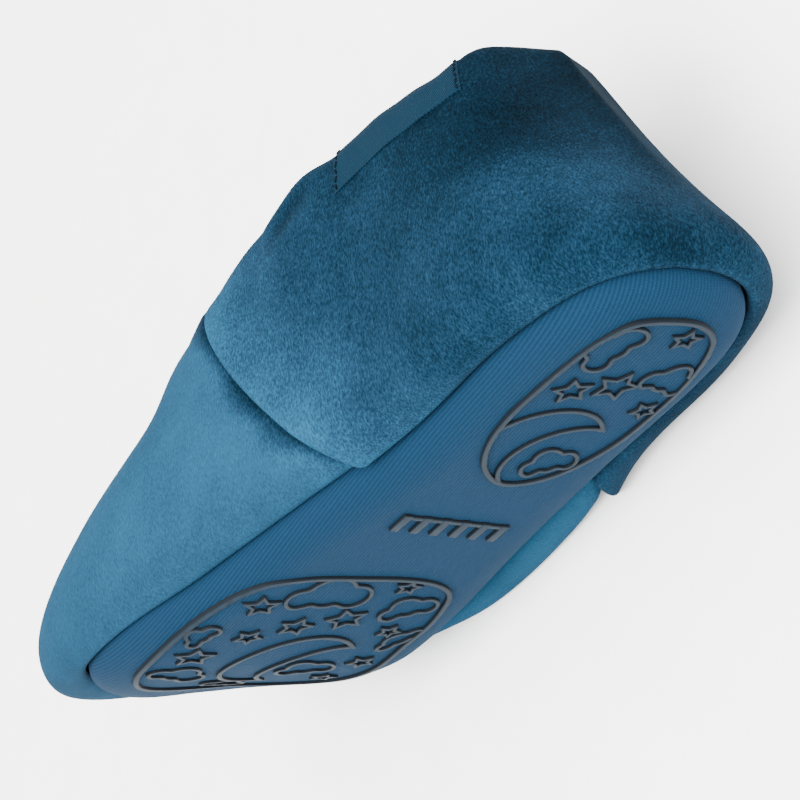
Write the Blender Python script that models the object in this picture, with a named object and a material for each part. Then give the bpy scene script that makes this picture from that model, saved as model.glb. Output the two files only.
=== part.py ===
"""Child's closed velour slipper, right foot, lying empty on its outer side.

The shoe is worked out upright in its own frame, in millimetres: x runs from the heel end of
the sole to the toe, y to the wearer's left, z up from the tread plane. One empty then lays
all the pieces on the floor together.
"""

import math

import bmesh
import bpy
import numpy as np
from mathutils import Matrix, Vector

MM = 0.001
WELD = 0.02                 # points closer than this are one point
SLIVER = 0.005              # shortest edge kept
SHARP_DEG = 50.0            # edges that turn more than this stay crisp
NUDGE = 1e-4                # step in a share for measuring directions

# Base colour and roughness of each material
VELOUR = ((0.05, 0.16, 0.25), 0.9)
KNIT = ((0.04, 0.11, 0.18), 0.85)
FOAM = ((0.05, 0.14, 0.22), 0.9)
RIBBON = ((0.03, 0.10, 0.14), 0.7)
RUBBER = ((0.11, 0.14, 0.18), 0.6)

# Sole
SOLE_LENGTH = 195.0
SEAM_HEIGHT = 6.0           # sewn edge of the sole over the tread plane
SPRING_START = 115.0        # the forefoot curls up from here to the toe
TOE_SPRING = 10.0           # rise of the sole at its toe end
ROLL_DEG = 8.0              # the forefoot rolls up to its right by this angle
ROLL_START = 95.0           # from here
ROLL_END = 188.0            # to here
ROLL_AXIS = 36.0            # about a line this far to the left
EDGE_ROUND = 10.0           # width of the soft turn between tread plane and seam
CURL_WIDTH = 2.0            # the turn is this much wider for each millimetre that it curls up
SOLE_STATIONS = 41          # points along each side of the sole
SEAM_BAND = 1.8             # upright edge of the sole beside the upper
PIECE_GAP = 0.3             # curved pieces meet this far apart

# Upper
WALL = 2.2                  # velour, foam and lining together
HEEL_POLE = 42.0            # the heel's walls lean towards this point of the centre line
TOE_POLE = 160.0            # the toe's walls close over this point of the centre line
ROLL_SHARE = 0.26           # share of the way up that is the rolled-under foot of the wall
ROLL_ROWS = 5               # rows of points in that foot
WALL_ROWS = 11              # rows of points above it
THROAT = 0.575              # front end of the foot opening, as a share of the half loop
THROAT_START = 0.47         # where the opening's sides start to turn in
QUARTER_TOP = 0.545         # front edge of the heel panel, at the foot opening
QUARTER_FOOT = 0.420        # the same edge, at the sole seam
QUARTER_LIP = 2.6           # how far its rolled front edge stands over the vamp
QUARTER_PANEL = 1.0         # how far the panel stands out behind that edge
QUARTER_BEND = 1.45         # how late that edge swings forward on its way up
LIP_FADE = 14.0             # length in which the lip sinks to the panel
LIP_ROUND = 2.4             # length of the lip's rounded drop to the vamp
LIP_SHEAR = 0.40            # share of the half loop in which the rows lean along with that edge

# Insole
INSOLE_THICKNESS = 2.5

# Label, a woven ribbon sewn flat outside the collar on the left side
LABEL_SPAN = (25.0, 62.0)   # its two ends along the shoe
LABEL_TOP = 0.4             # its upper edge lies this far under the collar's
LABEL_HEIGHT = 8.0
LABEL_THICKNESS = 0.6
LABEL_STATIONS = 10         # points along the ribbon
LABEL_ROWS = 4              # points up its height
LABEL_PROBE = 0.02          # share of the wall's height used to measure its slope

# Rubber grips under the sole: raised bands in two pads and a row of bars between them
GRIP_HEIGHT = 1.0
BAND = 1.3
RING_POINTS = 56
STAR_POINTS = 5
STAR_DEPTH = 0.5            # inner radius of a star as a share of its outer radius
STAR_HOLE = 0.42            # size of a star's hole as a share of the star's
MOON_BITE = (0.42, 0.884)   # centre and radius of the crescent's inner arc, as shares of its radius
MOON_POINTS = (20, 16)      # points on the outer arc and between its ends on the inner arc
CLOUD_POINTS = 24
# centre and radius of each lobe, as shares of the cloud's size
CLOUD_LOBES = ((-0.52, -0.05, 0.42), (0.05, 0.12, 0.55), (0.60, -0.10, 0.36))
PAD_COLUMNS = ("pad", "x", "y", "length", "width", "power")
PADS = (
    ("heel", 36.0, 1.5, 57.0, 28.5, 2.4),
    ("ball", 137.0, 3.5, 64.0, 56.0, 2.6),
)
# size is the longest radius in millimetres, turn is in degrees from the toe direction
MOTIF_COLUMNS = ("pad", "shape", "x", "y", "size", "turn")
MOTIFS = (
    ("heel", "moon", 48.8, 1.1, 11.6, -62.0),
    ("heel", "cloud", 54.4, -3.1, 5.8, 75.0),
    ("heel", "cloud", 19.6, 6.8, 5.4, 140.0),
    ("heel", "cloud", 24.7, -5.3, 5.4, 100.0),
    ("heel", "star", 31.2, 9.8, 4.0, 10.0),
    ("heel", "star", 28.6, 2.0, 4.3, 40.0),
    ("heel", "star", 12.6, -1.5, 3.0, 25.0),
    ("heel", "star", 35.2, -8.0, 2.9, 60.0),
    ("ball", "moon", 147.0, -0.6, 14.4, -60.0),
    ("ball", "cloud", 154.2, -10.6, 6.4, 80.0),
    ("ball", "cloud", 114.0, 11.2, 9.6, 95.0),
    ("ball", "cloud", 117.0, -10.8, 6.6, 80.0),
    ("ball", "cloud", 135.6, -19.1, 5.6, 20.0),
    ("ball", "cloud", 134.1, 26.1, 5.2, 10.0),
    ("ball", "cloud", 157.6, 19.4, 6.4, 110.0),
    ("ball", "star", 120.7, 23.6, 4.0, 15.0),
    ("ball", "star", 127.6, 10.2, 3.9, 35.0),
    ("ball", "star", 124.6, -0.8, 4.2, 5.0),
    ("ball", "star", 135.0, 17.6, 3.2, 50.0),
    ("ball", "star", 146.6, 23.4, 4.4, 20.0),
    ("ball", "star", 110.2, -3.5, 3.0, 30.0),
    ("ball", "star", 126.8, -16.4, 3.0, 45.0),
    ("ball", "star", 163.6, 8.6, 3.0, 60.0),
)
# Row of bars at the waist, joined by a strip at their heel ends
BAR_COUNT = 6
BAR_SIZE = (6.0, 2.0)       # length along the shoe with the strip, and width
BAR_PITCH = 4.6
BAR_STRIP = 1.2
BAR_CENTRE = (83.0, 1.5)

# One row for each section of half the sole's edge, from heel (along 0) to toe (along 1).
# left, right: half widths of the sole; curl: rise of the sole's right edge;
# out_l, out_r: how far the velour swells past the seam on the left and right;
# belly: height of that point over the seam; top: height of the collar or the vamp's ridge;
# reach: share of the way in to the centre line at the top; sweep: degrees of the side's arc;
# bow: 1 keeps that arc, less is straighter; full: 2 is an ellipse, more is boxier.
COLUMNS = (
    "along", "left", "right", "curl", "out_l", "out_r", "belly", "top", "reach", "sweep", "bow", "full",
)
SECTIONS = (
    (0.000, 0.0, 0.0, 0.0, 4.6, 4.6, 8.5, 60.6, 0.49, 30.0, 0.45, 2.0),
    (0.125, 17.8, 16.2, 0.0, 5.3, 5.3, 8.5, 68.0, 0.50, 30.0, 0.46, 2.0),
    (0.250, 25.2, 24.3, 0.0, 5.5, 5.5, 9.5, 69.2, 0.28, 36.0, 0.70, 2.0),
    (0.375, 24.4, 27.8, 0.0, 5.0, 5.0, 10.0, 68.5, 0.06, 45.0, 1.00, 2.0),
    (0.470, 28.6, 29.8, 0.0, 5.0, 5.0, 10.0, 66.8, 0.14, 50.0, 1.00, 2.0),
    (0.575, 33.4, 32.4, 0.5, 5.0, 5.8, 10.0, 65.3, 1.00, 90.0, 1.00, 2.3),
    (0.660, 36.6, 34.0, 2.0, 5.5, 7.2, 11.0, 59.8, 1.00, 90.0, 1.00, 2.3),
    (0.750, 33.8, 30.0, 3.8, 7.0, 9.0, 11.0, 52.0, 1.00, 90.0, 1.00, 2.3),
    (0.875, 19.5, 15.5, 4.4, 11.2, 10.4, 10.0, 45.4, 1.00, 90.0, 1.00, 2.1),
    (1.000, 0.0, 0.0, 0.0, 14.0, 14.0, 9.5, 43.0, 1.00, 90.0, 1.00, 2.0),
)

# Pose on the floor
LEAN_DEG = 0.0              # the sole's plane leans back from upright by this much
SKEW_DEG = 3.5              # turn about the shoe's upright axis that sets heel and ball down
PRESS = 2.2                 # the cloth is pressed flat to this depth where it rests


def table(columns, rows):
    """Rows of a table as dictionaries by column name."""
    return [dict(zip(columns, row)) for row in rows]


def column(name):
    """Values of one column of the section table, as an array."""
    return np.array([row[COLUMNS.index(name)] for row in SECTIONS])


def smooth(stations, values, where):
    """Cubic curve through a table's values, evaluated at the given places."""
    slopes = np.gradient(values, stations, edge_order=2)
    where = np.clip(where, stations[0], stations[-1])
    row = np.clip(np.searchsorted(stations, where, side="right") - 1, 0, len(stations) - 2)
    span = stations[row + 1] - stations[row]
    t = (where - stations[row]) / span
    rise = values[row] * (2 * t**3 - 3 * t**2 + 1) + values[row + 1] * (3 * t**2 - 2 * t**3)
    return rise + span * (slopes[row] * (t**3 - 2 * t**2 + t) + slopes[row + 1] * (t**3 - t**2))


def section(name, along):
    """One section size at the given shares of the half loop."""
    return smooth(column("along"), column(name), along)


def tread(x, y):
    """Height of the sole's underside: toe spring, and the forefoot's slight roll to its right."""
    ahead = np.clip((x - SPRING_START) / (SOLE_LENGTH - SPRING_START), 0.0, 1.0)
    turn = np.clip((x - ROLL_START) / (ROLL_END - ROLL_START), 0.0, 1.0)
    slope = math.tan(math.radians(ROLL_DEG)) * turn**2 * (3 - 2 * turn)
    return TOE_SPRING * ahead**2 + slope * np.maximum(0.0, ROLL_AXIS - y)


def edge(side, along):
    """Seam line of the sole in plan. side is +1 on the left and -1 on the right."""
    x = SOLE_LENGTH * (1 - np.cos(math.pi * along)) / 2
    half = section("left" if side > 0 else "right", along)
    return np.stack([x, side * np.maximum(half, 0.0)], axis=-1)


def share_at(x):
    """Share of the half loop at a place along the shoe's length."""
    return np.arccos(np.clip(1 - 2 * x / SOLE_LENGTH, -1.0, 1.0)) / math.pi


def seam_height(side, along):
    """Height of the sewn edge over the tread plane."""
    curl = section("curl", along) if side < 0 else 0.0
    return SEAM_HEIGHT + tread(*np.moveaxis(edge(side, along), -1, 0)) + curl


def outward(side, along):
    """Plan direction from the centre line out through the seam, and the distance between."""
    seam = edge(side, along)
    centre = np.stack([np.clip(seam[..., 0], HEEL_POLE, TOE_POLE), 0 * along], axis=-1)
    away = seam - centre
    span = np.linalg.norm(away, axis=-1)
    return away / span[..., None], span


def reach_in(along):
    """Share of the way in to the centre line at the top of the upper."""
    sides = section("reach", np.minimum(along, THROAT_START))
    turn = np.clip((along - THROAT_START) / (THROAT - THROAT_START), 0.0, 1.0)
    return sides + (1 - sides) * (1 - np.sqrt(1 - turn**2))


def wall(side, along, up):
    """Points of the upper's plain outer face. up runs from 0 at the seam to 1 at the top."""
    seam = edge(side, along)
    direction, span = outward(side, along)
    base = seam_height(side, along)
    bulge = section("out_l" if side > 0 else "out_r", along)
    belly = section("belly", along)
    roll = np.clip(up / ROLL_SHARE, 0.0, 1.0) * math.pi / 2
    rise = np.clip((up - ROLL_SHARE) / (1 - ROLL_SHARE), 0.0, 1.0)
    sweep = np.radians(np.where(along >= THROAT, 90.0, section("sweep", along)))
    power = 2 / section("full", along)
    angle = rise * sweep
    inward = (1 - np.cos(angle) ** power) / (1 - np.maximum(np.cos(sweep), 0.0) ** power)
    inward = inward ** section("bow", along)
    lift = (np.sin(angle) / np.sin(sweep)) ** power
    offset = bulge * np.sin(roll) - inward * (bulge + reach_in(along) * span)
    plan = seam + direction * offset[..., None]
    top = section("top", share_at(plan[..., 0]))
    height = base + belly * (1 - np.cos(roll)) + lift * (top - base - belly)
    return np.concatenate([plan, height[..., None]], axis=-1)


def quarter_edge(up):
    """Share of the half loop where the heel panel's front edge lies, seam to top."""
    return QUARTER_FOOT + (QUARTER_TOP - QUARTER_FOOT) * np.sin(up * math.pi / 2) ** QUARTER_BEND


def panel_step(along, up):
    """How far the heel panel stands out over the plain wall."""
    ahead = edge(1, along)[..., 0] - edge(1, quarter_edge(up))[..., 0]
    behind = QUARTER_PANEL + (QUARTER_LIP - QUARTER_PANEL) * np.exp(np.minimum(ahead, 0) / LIP_FADE)
    drop = np.clip(1 - ahead / LIP_ROUND, 0.0, 1.0)
    return np.where(ahead < 0, behind, QUARTER_LIP * drop)


def stations():
    """Shares of the half loop for the upper's grid at its top, dense at edge and throat."""
    lip = LIP_ROUND / (SOLE_LENGTH * math.pi / 2)
    heel = np.linspace(0.0, THROAT_START, 15)
    turn = np.linspace(THROAT_START, QUARTER_TOP - 2 * lip, 4)
    step = QUARTER_TOP + lip * np.array([-1.0, 0.0, 0.5, 1.0])
    arc = THROAT - (THROAT - step[-1]) * np.linspace(1.0, 0.0, 5) ** 2
    vamp = np.linspace(THROAT, 1.0, 17)
    return np.concatenate([heel, turn[1:], step, arc[1:], vamp[1:]])


def grid(side):
    """Places, plain outer points and normals of one side of the upper, station by station."""
    foot = np.linspace(0.0, ROLL_SHARE, ROLL_ROWS)
    rises = np.concatenate([foot, np.linspace(ROLL_SHARE, 1.0, WALL_ROWS)[1:]])
    top = stations()
    near = np.clip((top - QUARTER_TOP) / LIP_SHEAR, -1.0, 1.0)
    share = (1 - near**2) ** 2
    along = top[:, None] + share[:, None] * (quarter_edge(rises) - QUARTER_TOP)[None, :]
    along[0] = 0.0
    along[-1] = 1.0
    up = np.broadcast_to(rises, along.shape)
    after = wall(side, np.minimum(along + NUDGE, 1.0), up)
    before = wall(side, np.maximum(along - NUDGE, 0.0), up)
    above = wall(side, along, np.minimum(up + NUDGE, 1.0))
    below = wall(side, along, np.maximum(up - NUDGE, 0.0))
    normal = side * np.cross(above - below, after - before)
    length = np.linalg.norm(normal, axis=-1)
    normal /= np.where(length > 0, length, 1.0)[..., None]
    return along, up, wall(side, along, up), normal


def new_object(name, points, faces, finish):
    """Mesh object from points in millimetres, welded, with its own plain material."""
    colour, roughness = finish
    mesh = bpy.data.meshes.new(name)
    mesh.from_pydata([tuple(p * MM) for p in points], [], faces)
    work = bmesh.new()
    work.from_mesh(mesh)
    bmesh.ops.remove_doubles(work, verts=work.verts, dist=WELD * MM)
    bmesh.ops.dissolve_degenerate(work, edges=work.edges, dist=SLIVER * MM)
    bmesh.ops.recalc_face_normals(work, faces=work.faces)
    work.to_mesh(mesh)
    work.free()
    mesh.shade_smooth()
    mesh.set_sharp_from_angle(angle=math.radians(SHARP_DEG))
    material = bpy.data.materials.new(name)
    material.use_nodes = True
    shader = material.node_tree.nodes["Principled BSDF"]
    shader.inputs["Base Color"].default_value = (*colour, 1.0)
    shader.inputs["Roughness"].default_value = roughness
    mesh.materials.append(material)
    part = bpy.data.objects.new(name, mesh)
    bpy.context.scene.collection.objects.link(part)
    return part


def strip(first, second):
    """Quads between two rows of point numbers of the same length."""
    return [(first[i], first[i + 1], second[i + 1], second[i]) for i in range(len(first) - 1)]


def build_upper():
    """Hollow velour upper: vamp and heel panel in one wall, open at collar and underneath."""
    sides = {side: grid(side) for side in (1, -1)}
    spine = reach_in(sides[1][0][:, -1]) >= 1.0
    mean = sides[1][3][spine, -1] + sides[-1][3][spine, -1]
    mean[:, 1] = 0.0
    pole = sides[1][2][spine, -1][:, 0] >= TOE_POLE - 0.01
    mean[pole] = mean[pole].mean(axis=0)
    mean /= np.linalg.norm(mean, axis=-1)[:, None]
    points = []
    faces = []
    for side, (along, up, plain, normal) in sides.items():
        normal[spine, -1] = mean
        for end in (0, -1):
            normal[end, :, 1] = 0.0
            normal[end] /= np.linalg.norm(normal[end], axis=-1)[:, None]
        outer = plain + normal * panel_step(along, up)[..., None]
        inner = plain - normal * WALL
        rows, cols = along.shape
        first = len(points)
        points.extend(outer.reshape(-1, 3))
        points.extend(inner.reshape(-1, 3))
        number = first + np.arange(rows * cols).reshape(rows, cols)
        for layer in (number, number + rows * cols):
            for i in range(rows - 1):
                faces.extend(strip(layer[i], layer[i + 1]))
        faces.extend(strip(number[:, 0], number[:, 0] + rows * cols))
        rim = number[:, -1][: int(np.argmax(spine)) + 1]
        faces.extend(strip(rim, rim + rows * cols))
    return new_object("upper", points, faces, VELOUR)


def edge_ring(inset, spread, rise, above):
    """Loop of points beside the seam, left side first.

    inset is in millimetres, spread and rise are shares of the soft turn's width and height.
    """
    ring = []
    along = np.linspace(0.0, 1.0, SOLE_STATIONS)
    for side, places in ((1, along), (-1, along[-2:0:-1])):
        seam = edge(side, places)
        direction, _ = outward(side, places)
        lift = seam_height(side, places) - tread(seam[:, 0], seam[:, 1])
        width = EDGE_ROUND + CURL_WIDTH * (lift - SEAM_HEIGHT)
        plan = seam - direction * (inset + spread * width)[:, None]
        height = tread(plan[:, 0], plan[:, 1]) + rise * lift + above
        ring.append(np.concatenate([plan, height[:, None]], axis=-1))
    return np.concatenate(ring)


def slab(name, levels, finish):
    """Closed slab with the sole's outline, through one loop of points for each level."""
    rings = [edge_ring(*level) for level in levels]
    count = len(rings[0])
    numbers = [list(range(i * count, (i + 1) * count)) for i in range(len(rings))]
    faces = []
    for low, high in zip(numbers, numbers[1:]):
        faces.extend(strip(low + low[:1], high + high[:1]))
    toe = SOLE_STATIONS - 1
    for ring in (numbers[0], numbers[-1]):
        left = ring[: toe + 1]
        right = ring[:1] + ring[:toe:-1] + ring[toe: toe + 1]
        faces.extend(strip(left, right))
    return new_object(name, np.concatenate(rings), faces, finish)


def build_outsole():
    """Soft knit-covered sole: flat tread plane, rounded edge, upright band beside the upper."""
    turns = np.radians(np.linspace(0.0, 90.0, 6))
    levels = [(PIECE_GAP, 1 - math.sin(t), 1 - math.cos(t), 0.0) for t in turns]
    levels.append((PIECE_GAP, 0.0, 1.0, SEAM_BAND))
    return slab("outsole", levels, KNIT)


def build_insole():
    """Thin foam insole on the sole's top."""
    base = SEAM_BAND + PIECE_GAP
    levels = [(PIECE_GAP, 0.0, 1.0, base + up) for up in (0.0, INSOLE_THICKNESS)]
    return slab("insole", levels, FOAM)


def underside(x, y):
    """Height of the sole's lower face at a place, with the soft turn near its edge."""
    side = np.where(y >= 0, 1, -1)
    along = share_at(x)
    half = np.where(side > 0, section("left", along), section("right", along))
    curl = np.where(side > 0, 0.0, section("curl", along))
    width = EDGE_ROUND + CURL_WIDTH * curl
    near = np.clip(1 - (half - np.abs(y) - PIECE_GAP) / width, 0.0, 1.0)
    return tread(x, y) + (SEAM_HEIGHT + curl) * (1 - np.sqrt(1 - near**2))


def grip(name, outer, inner):
    """Raised rubber band between two closed plan outlines, or a solid lug where inner is None."""
    rows = []
    for loop in (outer, inner):
        if loop is None:
            continue
        base = underside(loop[:, 0], loop[:, 1]) - PIECE_GAP
        for drop in (0.0, GRIP_HEIGHT):
            rows.append(np.column_stack([loop, base - drop]))
    count = len(outer)
    numbers = [list(range(i * count, (i + 1) * count)) for i in range(len(rows))]
    faces = []
    if inner is None:
        faces.extend(strip(numbers[0] + numbers[0][:1], numbers[1] + numbers[1][:1]))
        faces.extend([tuple(numbers[0]), tuple(numbers[1][::-1])])
    else:
        for one, two in ((0, 1), (1, 3), (3, 2), (2, 0)):
            faces.extend(strip(numbers[one] + numbers[one][:1], numbers[two] + numbers[two][:1]))
    return new_object(name, np.concatenate(rows), faces, RUBBER)


def beside(loop, offset):
    """Closed plan outline moved out by an offset, square to itself at each point."""
    ahead = np.roll(loop, -1, axis=0) - loop
    ahead /= np.linalg.norm(ahead, axis=1)[:, None]
    normal = np.column_stack([ahead[:, 1], -ahead[:, 0]])
    both = normal + np.roll(normal, 1, axis=0)
    square = np.maximum((both**2).sum(axis=1), 0.9)
    return loop + 2 * offset * both / square[:, None]


def star_loops(size):
    """Five-pointed star and its hole."""
    corner = np.arange(2 * STAR_POINTS)
    turn = corner * math.pi / STAR_POINTS
    radius = np.where(corner % 2 == 0, size, size * STAR_DEPTH)
    loop = np.column_stack([radius * np.cos(turn), radius * np.sin(turn)])
    return loop, loop * STAR_HOLE


def cloud_loops(size):
    """Cloud of round lobes, as the outline of their circles, and the edge of its hole."""
    turn = np.linspace(0.0, 2 * math.pi, CLOUD_POINTS, endpoint=False)
    ray = np.column_stack([np.cos(turn), np.sin(turn)])
    reach = np.zeros(len(turn))
    for x, y, radius in CLOUD_LOBES:
        along = ray @ np.array([x, y])
        across = ray @ np.array([-y, x])
        gap = radius**2 - across**2
        reach = np.maximum(reach, np.where(gap > 0, along + np.sqrt(np.maximum(gap, 0.0)), 0.0))
    loop = ray * (size * reach)[:, None]
    return loop, beside(loop, -BAND)


def crescent(radius, bite, centre):
    """Loop between an arc about the origin and a second arc about a point ahead of it."""
    tip_x = (radius**2 - bite**2 + centre**2) / (2 * centre)
    tip_y = math.sqrt(radius**2 - tip_x**2)
    start = math.atan2(tip_y, tip_x)
    back = math.atan2(tip_y, tip_x - centre)
    outer = np.linspace(start, 2 * math.pi - start, MOON_POINTS[0])
    inner = np.linspace(2 * math.pi - back, back, MOON_POINTS[1] + 2)[1:-1]
    first = np.column_stack([radius * np.cos(outer), radius * np.sin(outer)])
    second = np.column_stack([centre + bite * np.cos(inner), bite * np.sin(inner)])
    return np.concatenate([first, second])


def moon_loops(size):
    """Crescent moon and its hole."""
    centre, bite = (share * size for share in MOON_BITE)
    return crescent(size, bite, centre), crescent(size - BAND, bite + BAND, centre)


def comb_loop():
    """Row of bars across the shoe on one strip."""
    heel_end = -BAR_SIZE[0] / 2
    toe_end = BAR_SIZE[0] / 2
    root = heel_end + BAR_STRIP
    first = -(BAR_COUNT - 1) * BAR_PITCH / 2
    loop = [(heel_end, -first + BAR_SIZE[1] / 2), (heel_end, first - BAR_SIZE[1] / 2)]
    for number in range(BAR_COUNT):
        low = first + number * BAR_PITCH - BAR_SIZE[1] / 2
        high = low + BAR_SIZE[1]
        bar = [(root, low), (toe_end, low), (toe_end, high), (root, high)]
        loop.extend(bar[1:] if number == 0 else bar)
    return np.array(loop[:-1])


SHAPES = {"star": star_loops, "cloud": cloud_loops, "moon": moon_loops}


def build_grips():
    """Pad rings, the motifs inside them and the row of bars at the waist."""
    parts = []
    angle = np.linspace(0.0, 2 * math.pi, RING_POINTS, endpoint=False)
    circle = np.column_stack([np.cos(angle), np.sin(angle)])
    for pad in table(PAD_COLUMNS, PADS):
        half = (np.array([pad["length"], pad["width"]]) - BAND) / 2
        ring = np.sign(circle) * np.abs(circle) ** (2 / pad["power"]) * half
        ring = ring + np.array([pad["x"], pad["y"]])
        name = f"grip_ring_{pad['pad']}"
        parts.append(grip(name, beside(ring, BAND / 2), beside(ring, -BAND / 2)))
    for number, motif in enumerate(table(MOTIF_COLUMNS, MOTIFS), start=1):
        t = math.radians(motif["turn"])
        spin = np.array([[math.cos(t), math.sin(t)], [-math.sin(t), math.cos(t)]])
        place = np.array([motif["x"], motif["y"]])
        outer, inner = (loop @ spin + place for loop in SHAPES[motif["shape"]](motif["size"]))
        name = f"grip_{motif['shape']}_{motif['pad']}_{number}"
        parts.append(grip(name, outer, inner))
    bars = comb_loop() + np.array(BAR_CENTRE)
    parts.append(grip("grip_bars", bars, None))
    return parts


def build_label():
    """Bare ribbon over the left collar, shaped to the wall behind it."""
    along = np.linspace(*share_at(np.array(LABEL_SPAN)), LABEL_STATIONS)
    top = np.ones_like(along)
    rise = wall(1, along, top) - wall(1, along, top - LABEL_PROBE)
    length = np.linalg.norm(rise, axis=-1)
    normal = np.cross(rise, np.gradient(wall(1, along, top), axis=0))
    normal /= np.linalg.norm(normal, axis=-1)[:, None]
    layers = []
    for off in (PIECE_GAP, PIECE_GAP + LABEL_THICKNESS):
        rows = []
        for drop in np.linspace(LABEL_TOP + LABEL_HEIGHT, LABEL_TOP, LABEL_ROWS):
            up = top - drop * LABEL_PROBE / length
            rows.append(wall(1, along, up) + normal * (panel_step(along, up) + off)[:, None])
        layers.append(np.stack(rows))
    count = LABEL_ROWS * LABEL_STATIONS
    first = np.arange(count).reshape(LABEL_ROWS, LABEL_STATIONS)
    second = first + count
    faces = []
    for layer in (first, second):
        for i in range(LABEL_ROWS - 1):
            faces.extend(strip(layer[i], layer[i + 1]))
    for end in (0, -1):
        faces.extend(strip(first[end], second[end]))
        faces.extend(strip(first[:, end], second[:, end]))
    points = np.concatenate([layer.reshape(-1, 3) for layer in layers])
    return new_object("label", points, faces, RIBBON)


def lying_pose():
    """Turn from the upright shoe to the shoe on its right side, toe to -X, sole to -Y."""
    side_down = Matrix(((-1, 0, 0), (0, 0, 1), (0, 1, 0)))
    lean = Matrix.Rotation(math.radians(LEAN_DEG), 3, "X")
    skew = Matrix.Rotation(math.radians(SKEW_DEG), 3, "Y")
    return (skew @ lean @ side_down).to_4x4()


def press_flat(part, turn, floor):
    """Flatten a soft piece where it would sink below the floor."""
    back = turn.inverted()
    for vertex in part.data.vertices:
        place = turn @ vertex.co
        place.z = max(place.z, floor)
        vertex.co = back @ place


def lay_down(parts):
    """Parent the pieces to one empty that lays the shoe on the floor, centred on the origin."""
    turn = lying_pose()
    upper = bpy.data.objects["upper"]
    floor = min((turn @ v.co).z for v in upper.data.vertices) + PRESS * MM
    press_flat(upper, turn, floor)
    places = np.array([turn @ v.co for part in parts for v in part.data.vertices])
    low = places.min(axis=0)
    high = places.max(axis=0)
    shift = Vector((-(low[0] + high[0]) / 2, -(low[1] + high[1]) / 2, -low[2]))
    holder = bpy.data.objects.new("slipper", None)
    bpy.context.scene.collection.objects.link(holder)
    holder.matrix_world = Matrix.Translation(shift) @ turn
    for part in parts:
        part.parent = holder


def main():
    """Clear the scene and build the slipper."""
    for old in list(bpy.data.objects):
        bpy.data.objects.remove(old, do_unlink=True)
    parts = [build_outsole(), build_upper(), build_insole(), build_label(), *build_grips()]
    lay_down(parts)


main()
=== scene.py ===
"""Looks of a child's velour slipper that lies empty on its right side.

The slipper's form is worked out upright, in millimetres: x runs from the heel end of the sole
to the toe, y to the wearer's left and z up from the tread plane. A Lay turns it on its side.
"""

import logging
import math
from dataclasses import dataclass, field
from enum import Enum
from typing import Any, Sequence

import bpy
import numpy as np
from mathutils import Matrix, Vector


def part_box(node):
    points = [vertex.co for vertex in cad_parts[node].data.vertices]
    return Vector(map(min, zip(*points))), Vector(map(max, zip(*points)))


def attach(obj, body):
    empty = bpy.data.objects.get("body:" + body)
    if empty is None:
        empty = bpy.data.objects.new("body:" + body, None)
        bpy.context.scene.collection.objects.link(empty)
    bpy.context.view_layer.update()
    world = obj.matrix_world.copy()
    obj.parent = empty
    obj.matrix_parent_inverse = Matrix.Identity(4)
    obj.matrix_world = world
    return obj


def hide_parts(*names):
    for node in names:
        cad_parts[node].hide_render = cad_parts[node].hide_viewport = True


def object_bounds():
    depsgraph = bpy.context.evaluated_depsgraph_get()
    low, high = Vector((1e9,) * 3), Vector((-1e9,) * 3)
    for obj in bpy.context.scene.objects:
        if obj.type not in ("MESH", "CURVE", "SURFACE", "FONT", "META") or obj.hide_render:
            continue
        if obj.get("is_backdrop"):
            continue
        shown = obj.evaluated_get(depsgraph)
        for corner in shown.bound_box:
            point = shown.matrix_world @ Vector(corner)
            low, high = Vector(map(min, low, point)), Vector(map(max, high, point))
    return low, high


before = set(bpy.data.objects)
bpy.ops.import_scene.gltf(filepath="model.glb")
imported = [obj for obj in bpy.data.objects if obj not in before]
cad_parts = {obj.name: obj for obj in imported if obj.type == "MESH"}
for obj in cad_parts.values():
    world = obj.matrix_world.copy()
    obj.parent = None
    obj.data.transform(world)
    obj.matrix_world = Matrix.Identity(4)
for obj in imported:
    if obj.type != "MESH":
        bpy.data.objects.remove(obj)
CAD_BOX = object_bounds()
LOG = logging.getLogger("slipper")
MM = 0.001
Points = np.ndarray
Piece = bpy.types.Object
Material = bpy.types.Material
Tree = bpy.types.NodeTree
Node = bpy.types.Node


class Side(Enum):
    """The two sides of the slipper, as the sign of y."""

    LEFT = 1
    RIGHT = -1


class Shape(Enum):
    """Outlines of the grip motifs."""

    MOON = "moon"
    CLOUD = "cloud"
    STAR = "star"


@dataclass(frozen=True)
class Section:
    """Sizes at one place along half the sole's edge, in millimetres.

    along is the share of the half loop from heel (0) to toe (1). half is the width from the centre
    line to the seam, out how far the padded flank stands past it, belly the height at which it
    does, and sag how far it droops there. top is the height of the upper's top line, and reach the
    share of the way in to the centre line there. sweep is the arc from belly to top in degrees,
    bow the power that leans it in, and full its roundness, 2 for an ellipse.
    """

    along: float
    half_left: float
    half_right: float
    out_left: float
    out_right: float
    belly_left: float
    belly_right: float
    sag_left: float
    sag_right: float
    top: float
    reach: float
    sweep: float
    bow: float
    full: float


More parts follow.
